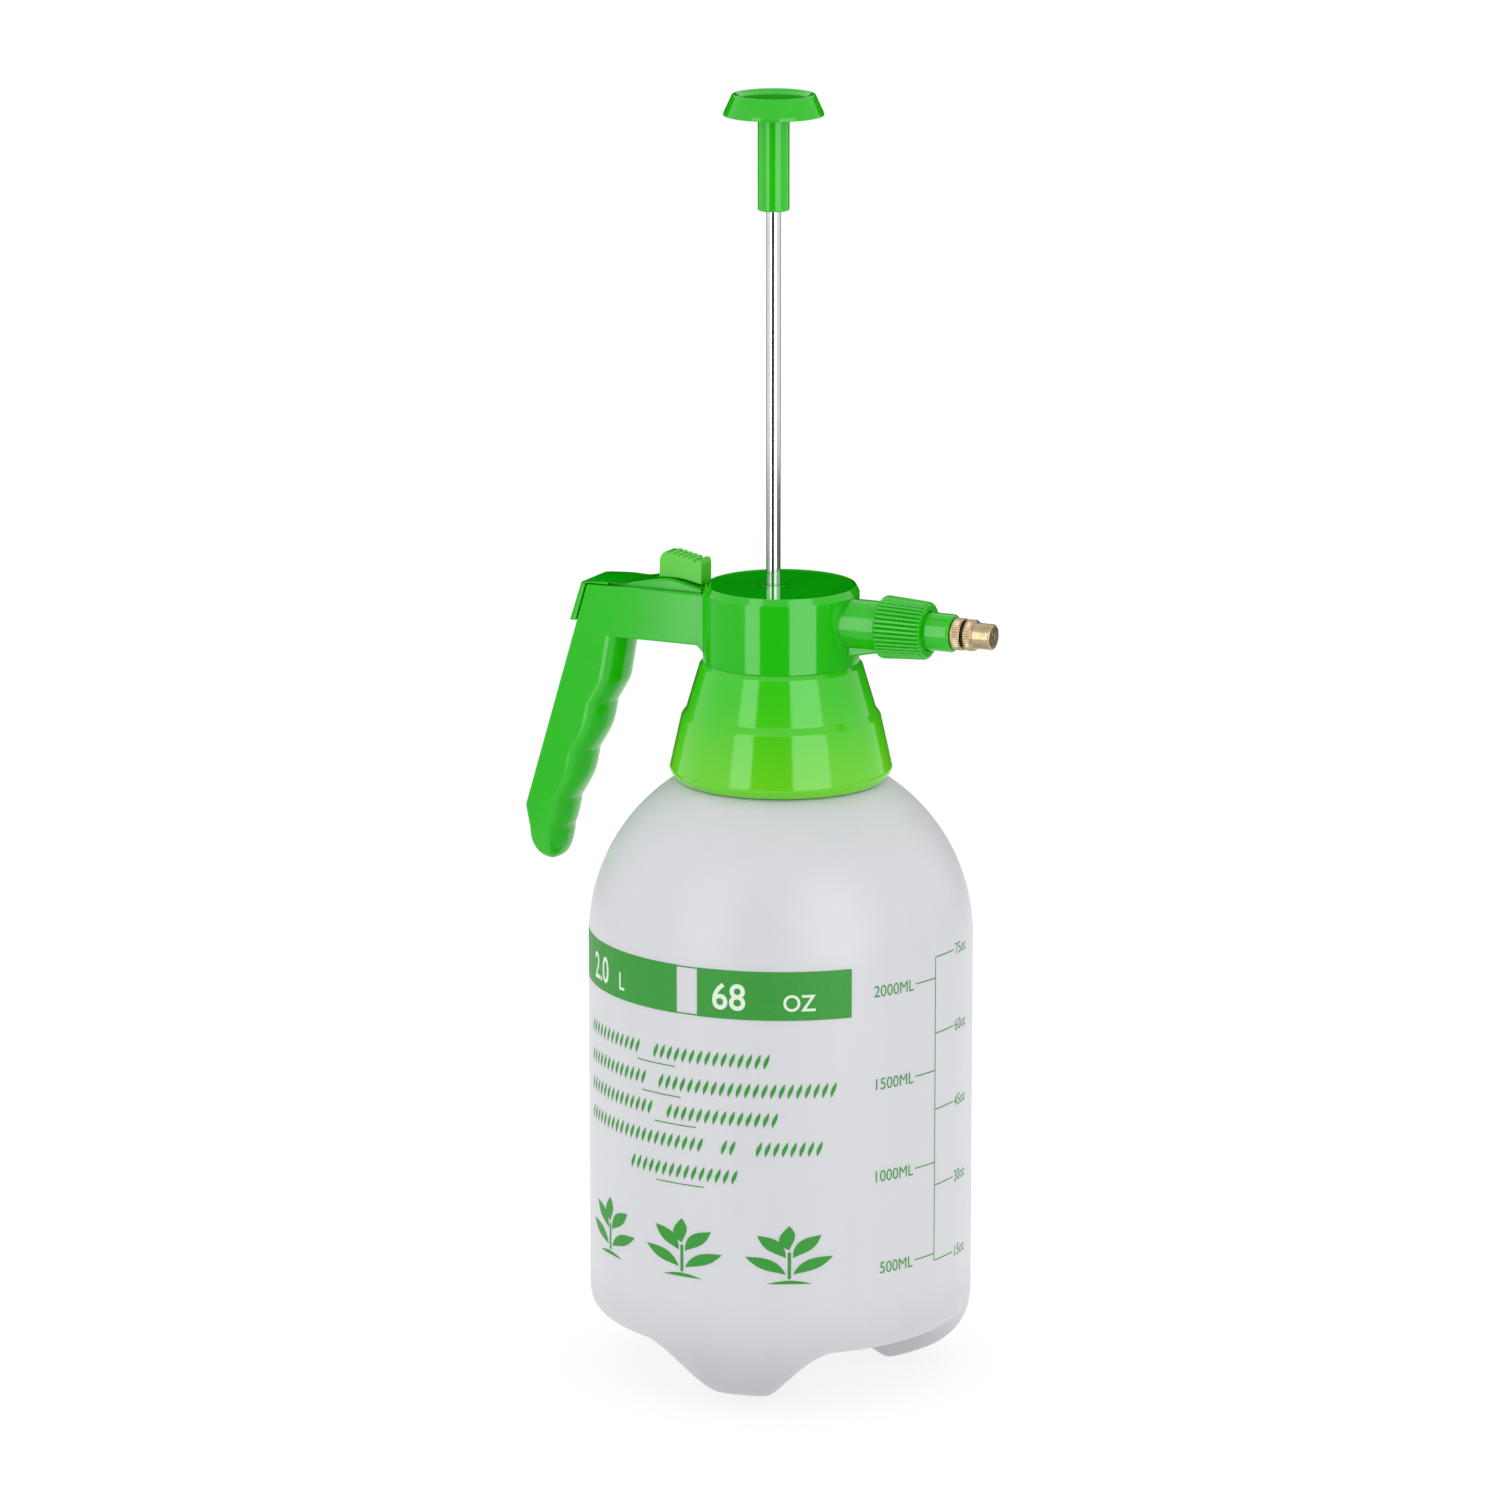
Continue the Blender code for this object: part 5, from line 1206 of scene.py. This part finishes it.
def makePaintedLeverShade():
    # painted shade: a thin dark sheet laid just over the lever's top behind the slide, crowned at the
    # back and running out below the slide, standing in for the shade on that upward face
    v = lever
    shape = bmesh.new()
    rings = []
    steps = 60
    for i in range(steps + 1):
        x = v["shadeFrom"] + (v["shadeTo"] - v["shadeFrom"]) * i / steps
        half = v["shadeHalf"] - 5.2 * smoothStep(-62, v["shadeTo"], x)
        crown = v["shadeCrown"] * (1 - smoothStep(-68, -54, x)) + 0.04
        across = [k / 8 for k in range(-8, 9)]
        line = [(x, half * side, leverTop(x) + 0.01 + crown * (1 - side * side))
                for side in across]
        line += [(x, half, leverTop(x) - 0.1), (x, -half, leverTop(x) - 0.1)]
        rings.append([shape.verts.new(point) for point in line])
    skinned(shape, rings)
    shape.faces.new(rings[0][::-1])
    shape.faces.new(rings[-1])
    shadeSheet = placed("lever_top_painted_shade", shape)
    finished(shadeSheet, darkGreenAndPaintedShade, "trigger", "green_plastic")


def makeThumb():
    t = thumb
    low, high = span("thumb_slide")
    back, front, top = low.x, high.x, high.z
    seat = leverTop(-41.5)
    frontTop = top - 2.4
    slope = (top - frontTop) / 11
    crest = [(back, thumbSeat(back)), (back + 0.3, top - 2.6, 0.8), (back + 1.7, top - 0.5, 1.0)]
    outline = roundCorners(crest + [
        (back + 3.6, top - 0.75)], 6, closed=False)[:-1]
    outline = [tuple(point) for point in outline]
    for i in range(t["ribs"]):
        start = back + 4.0 + i * t["pitch"]
        for k in range(9):
            turn = math.pi * k / 8
            x = start + t["pitch"] * 0.42 * (1 - math.cos(turn))
            outline.append((x, top - 0.75 - slope * (x - back - 4.0)
                            + t["ribHigh"] * math.sin(turn)))
    nub = [tuple(point) for point in roundCorners([
        (front - 3.0, frontTop - 0.9), (front - 2.3, frontTop - 0.7, 0.3),
        (front - 1.9, frontTop, 0.4), (front - 0.5, frontTop, 0.4), (front, frontTop - 1.1, 0.4),
        (front, thumbSeat(front))], 4, closed=False)]
    under = [(x, thumbSeat(x)) for x in
             [front + (back - front) * i / 24 for i in range(1, 24)]]
    made = plate("thumb_slide_block", outline + nub + under, t["width"], bevel=t["round"],
                 onlySides=True)
    foot = block("foot_form", (back + 2, -lever["slotHalf"] + t["slotClear"], low.z),
                 (front - 2, lever["slotHalf"] - t["slotClear"], seat + 1))
    combined(made, joined=(foot,))
    finished(made, slidePaintedLightPlastic, "thumb", "green_plastic", "thumb_slide")


makeLever()
makeThumb()
print("lever made")

# ---- coupling nut, spray tube and brass nozzle

nut = {"radius": 11.0, "frontRadius": 10.1, "ribs": 40, "ribDepth": 0.8, "bore": 8.8,
       "shoulder": 15.9, "perRib": 16, "round": 1.3}
nozzle = {"tube": 6.65, "flange": 8.2, "bore": 2.2, "brass": 5.6, "socket": 4.2, "ring": 5.45,
          "tip": 4.5, "knurlDepth": 0.3, "knurlPitch": 0.92, "stud": 3.3, "seat": 3.6,
          "jet": 0.6}


def makeCouplingNut():
    n = nut
    low, high = span("coupling_nut")
    hole = nozzle["tube"] + 0.3
    start, end, shoulder = low.x, high.x, low.x + n["shoulder"]
    profile = [(n["bore"], start, 0.0), (n["radius"] - 0.9, start, 0.0)]
    profile += [(n["radius"] - 0.9 + 0.9 * math.sin(math.pi / 2 * i / 6),
                 start + 0.9 * (1 - math.cos(math.pi / 2 * i / 6)), i / 6) for i in range(1, 7)]
    for i in range(1, 25):
        share = i / 24
        profile.append((n["radius"] + (n["frontRadius"] - n["radius"]) * share,
                        start + 0.9 + (shoulder - start - 0.9) * share, 1.0))
    for i in range(1, 15):
        turn = math.pi / 2 * i / 14
        profile.append((n["frontRadius"] - n["round"] * (1 - math.cos(turn)),
                        shoulder + (end - shoulder) * math.sin(turn),
                        1 - smoothStep(0.3, 0.9, i / 14)))
    inner = span("nozzle_tube")[0].x + 2.3
    profile += [(hole, end, 0.0), (hole, inner, 0.0), (n["bore"], inner, 0.0)]
    shape = bmesh.new()
    count = n["ribs"] * n["perRib"]
    rings = []
    for r, x, ribbed in profile:
        ring = []
        for i in range(count):
            turn = math.tau * i / count
            groove = (0.5 + 0.5 * math.cos(turn * n["ribs"])) ** 3
            deep = r - n["ribDepth"] * ribbed * groove
            ring.append(shape.verts.new((x, deep * math.cos(turn),
                                         spout["axisZ"] + deep * math.sin(turn))))
        rings.append(ring)
    skinned(shape, rings, closedRows=True)
    made = placed("coupling_nut_ribbed", shape, 50)
    finished(made, greenPlastic, "coupling", "green_plastic", "coupling_nut")


def knurled(name, outline, knurlFrom, knurlTo, radius):
    # a turned piece whose band between two places along x carries a straight knurl
    n = nozzle
    teeth = round(math.tau * radius / n["knurlPitch"])
    steps = teeth * 8
    fine = []
    for before, after in zip(outline, outline[1:] + outline[:1]):
        fine.append(before)
        onBand = abs(before[0] - radius) < 0.02 and abs(after[0] - radius) < 0.02
        if onBand:
            count = max(2, round(abs(after[1] - before[1]) / 0.3))
            fine += [(radius, before[1] + (after[1] - before[1]) * i / count)
                     for i in range(1, count)]
    shape = bmesh.new()
    rings = []
    for r, x in fine:
        inBand = abs(r - radius) < 0.02 and knurlFrom < x < knurlTo
        ring = []
        for i in range(steps):
            turn = math.tau * i / steps
            deep = r
            if inBand:
                deep = r - n["knurlDepth"] * (0.5 + 0.5 * math.cos(turn * teeth)) ** 1.5
            ring.append(shape.verts.new((x, deep * math.cos(turn),
                                         spout["axisZ"] + deep * math.sin(turn))))
        rings.append(ring)
    skinned(shape, rings, closedRows=True)
    return placed(name, shape, 45)


def makeNozzle():
    n = nozzle
    centre = (0, 0, spout["axisZ"])
    low, high = span("nozzle_seal")
    washer = turned("nozzle_seal_ring", roundCorners([
        (spout["bore"], low.x, 0.15), (n["flange"], low.x, 0.25), (n["flange"], high.x, 0.25),
        (spout["bore"], high.x, 0.15)], 4), 72, centre, "x")
    finished(washer, rubber, "head", "black_rubber", "nozzle_seal")
    low, high = span("nozzle_tube")
    bodyLow, bodyHigh = span("nozzle_body")
    socketEnd = bodyLow.x - 0.3
    end = high.x
    tube = turned("nozzle_tube_moulding", roundCorners([
        (n["flange"], low.x, 0.3), (n["flange"], low.x + 2, 0.3), (n["tube"], low.x + 2),
        (n["tube"], end, 0.9), (n["socket"], end, 0.2), (n["socket"], socketEnd),
        (n["bore"], socketEnd), (n["bore"], low.x)], 6), 128, centre, "x")
    finished(tube, greenPlastic, "head", "green_plastic", "nozzle_tube")
    capLow, capHigh = span("nozzle_cap")
    ringLow, ringHigh = span("nozzle_o_ring")
    groove = ringLow.x - 0.3
    stud = n["stud"]
    outline = roundCorners([
        (n["socket"] - 0.3, bodyLow.x, 0.2), (n["socket"] - 0.3, end + 0.3),
        (n["brass"], end + 0.3, 0.35), (n["brass"], groove, 0.3), (n["seat"], groove),
        (n["seat"], groove + 1.0), (stud, groove + 1.0), (stud, capHigh.x - 3.4),
        (0.8, capHigh.x - 2.4), (0.8, bodyLow.x)], 4)
    body = knurled("nozzle_body_turned", [tuple(p) for p in outline], end + 0.7, groove - 0.35,
                   n["brass"])
    finished(body, brass, "head", "turned_brass", "nozzle_body")
    ringRadius = (ringHigh.x - ringLow.x) / 2
    ringOut = (ringHigh.z - ringLow.z) / 2 - ringRadius
    ring = turned("nozzle_seal_o_ring", [
        (ringOut + ringRadius * math.cos(math.tau * i / 20),
         ringLow.x + ringRadius + ringRadius * math.sin(math.tau * i / 20)) for i in range(20)],
        96, centre, "x")
    finished(ring, rubber, "head", "black_rubber", "nozzle_o_ring")
    ringEnd = 73.9
    tip = capHigh.x
    outline = roundCorners([
        (n["ring"], capLow.x, 0.3), (n["ring"], ringEnd, 0.3), (n["tip"], ringEnd + 0.3, 0.15),
        (n["tip"], tip, 0.7), (n["jet"], tip, 0.15), (n["jet"], tip - 1.2),
        (n["seat"], tip - 2.1), (n["seat"], capLow.x, 0.1)], 5)
    cap = knurled("nozzle_cap_turned", [tuple(p) for p in outline], capLow.x + 0.35,
                  ringEnd - 0.35, n["ring"])
    finished(cap, brass, "spray_cap", "turned_brass", "nozzle_cap")


makeCouplingNut()
makeNozzle()
print("nozzle made")

# ---- studio: pale floor, soft light and camera

cameraSetup = {"azimuth": 25.0, "back": 2600.0, "height": 827.9, "down": 13.104, "pan": 0.2388,
               "lens": 183.4, "sensor": 36.0}
light = {"floorSize": 30000.0, "world": 1.0, "leftFrom": -53.5, "leftTo": -31.0,
         "rightFrom": 12.0, "rightTo": 52.0, "distance": 800.0, "low": 20.0, "high": 1000.0,
         "strength": 2.35, "floorGlow": 0.76}


def directionFrom(degrees):
    # level direction, measured from the one that faces the camera, turning to its right
    turn = math.radians(-90 + cameraSetup["azimuth"] + degrees)
    return Vector((math.cos(turn), math.sin(turn), 0))


def studioPlane(name, corners, material):
    mesh = bpy.data.meshes.new(name)
    mesh.from_pydata([corner * mm + Vector((axisX, 0, 0)) for corner in corners], [],
                     [tuple(range(len(corners)))])
    made = bpy.data.objects.new(name, mesh)
    made.data.materials.append(material)
    studio.objects.link(made)
    return made


def makeFloor():
    # opal acrylic lit from below: it keeps the shadow under the base faint
    material, tree, shader, place = newMaterial("lit opal acrylic", {
        "Roughness": 0.9, "Specular IOR Level": 0.1, "Emission Color": toLinear("#FFFFFF"),
        "Emission Strength": light["floorGlow"]})
    tree.links.new(tinted(tree, spread(tree, noiseOf(tree, place, 400, 2), 0, 1), "#8E8E8E",
                          "#8C8C8D"), shader.inputs["Base Color"])
    half = light["floorSize"] / 2
    studioPlane("floor", [Vector((x * half, y * half, -0.05))
                          for x, y in ((-1, -1), (1, -1), (1, 1), (-1, 1))], material)


def hangCard(name, fromDegrees, toDegrees, distance, low, high, shades):
    # a card that only mirror reflections see, as a photographer hangs one
    material, tree, shader, place = newMaterial(name, {"Roughness": 1.0,
                                                       "Specular IOR Level": 0.0})
    tree.links.new(tinted(tree, noiseOf(tree, place, 200), *shades),
                   shader.inputs["Base Color"])
    steps = 8
    for i in range(steps):
        a = directionFrom(fromDegrees + (toDegrees - fromDegrees) * i / steps) * distance
        b = directionFrom(fromDegrees + (toDegrees - fromDegrees) * (i + 1) / steps) * distance
        card = studioPlane(f"{name}_{i}", [a + Vector((0, 0, low)), b + Vector((0, 0, low)),
                                           b + Vector((0, 0, high)), a + Vector((0, 0, high))],
                           material)
        card.visible_camera = False
        card.visible_diffuse = False
        card.visible_shadow = False
        card.visible_transmission = False


def softBox(name, fromDegrees, toDegrees):
    middle = directionFrom((fromDegrees + toDegrees) / 2)
    width = 2 * light["distance"] * math.tan(math.radians(toDegrees - fromDegrees) / 2)
    height = light["high"] - light["low"]
    lamp = bpy.data.lights.new(name, "AREA")
    lamp.shape = "RECTANGLE"
    lamp.size = width * mm
    lamp.size_y = height * mm
    lamp.energy = light["strength"] * math.pi * width * height * mm * mm
    made = bpy.data.objects.new(name, lamp)
    centre = middle * light["distance"] + Vector((0, 0, (light["low"] + light["high"]) / 2))
    made.location = centre * mm + Vector((axisX, 0, 0))
    made.rotation_euler = middle.to_track_quat("Z", "Y").to_euler()
    made.visible_camera = False
    made.visible_diffuse = False
    studio.objects.link(made)


def makeStudio():
    scene = bpy.context.scene
    world = bpy.data.worlds.new("white room")
    world.use_nodes = True
    backdrop = world.node_tree.nodes["Background"]
    backdrop.inputs["Color"].default_value = toLinear("#FFFFFF")
    backdrop.inputs["Strength"].default_value = light["world"]
    scene.world = world
    scene.view_settings.view_transform = "Standard"
    makeFloor()
    softBox("left_softbox", light["leftFrom"], light["leftTo"])
    softBox("right_softbox", light["rightFrom"], light["rightTo"])
    black, grey = ("#101010", "#141414"), ("#646464", "#606060")
    hangCard("front_flag", light["leftTo"], light["rightFrom"], 820, 0, 700, black)
    hangCard("back_flag", 130, 230, 900, 60, 700, black)
    hangCard("right_card", light["rightTo"], 130, 830, 0, 160, grey)
    hangCard("left_card", -130, light["leftFrom"], 830, 0, 160, ("#C6C6C6", "#C0C0C0"))
    c = cameraSetup
    camera = bpy.data.cameras.new("camera")
    camera.lens = c["lens"]
    camera.sensor_width = c["sensor"]
    camera.clip_end = 100
    made = bpy.data.objects.new("camera", camera)
    away = directionFrom(0)
    made.location = (away * c["back"] + Vector((0, 0, c["height"]))) * mm + Vector((axisX, 0, 0))
    level = directionFrom(c["pan"])
    pitch = math.radians(c["down"])
    made.rotation_euler = (level * math.cos(pitch) + Vector((0, 0, math.sin(pitch)))
                           ).to_track_quat("Z", "Y").to_euler()
    studio.objects.link(made)
    scene.camera = made


makeStudio()
print("studio made")

bpy.context.view_layer.update()
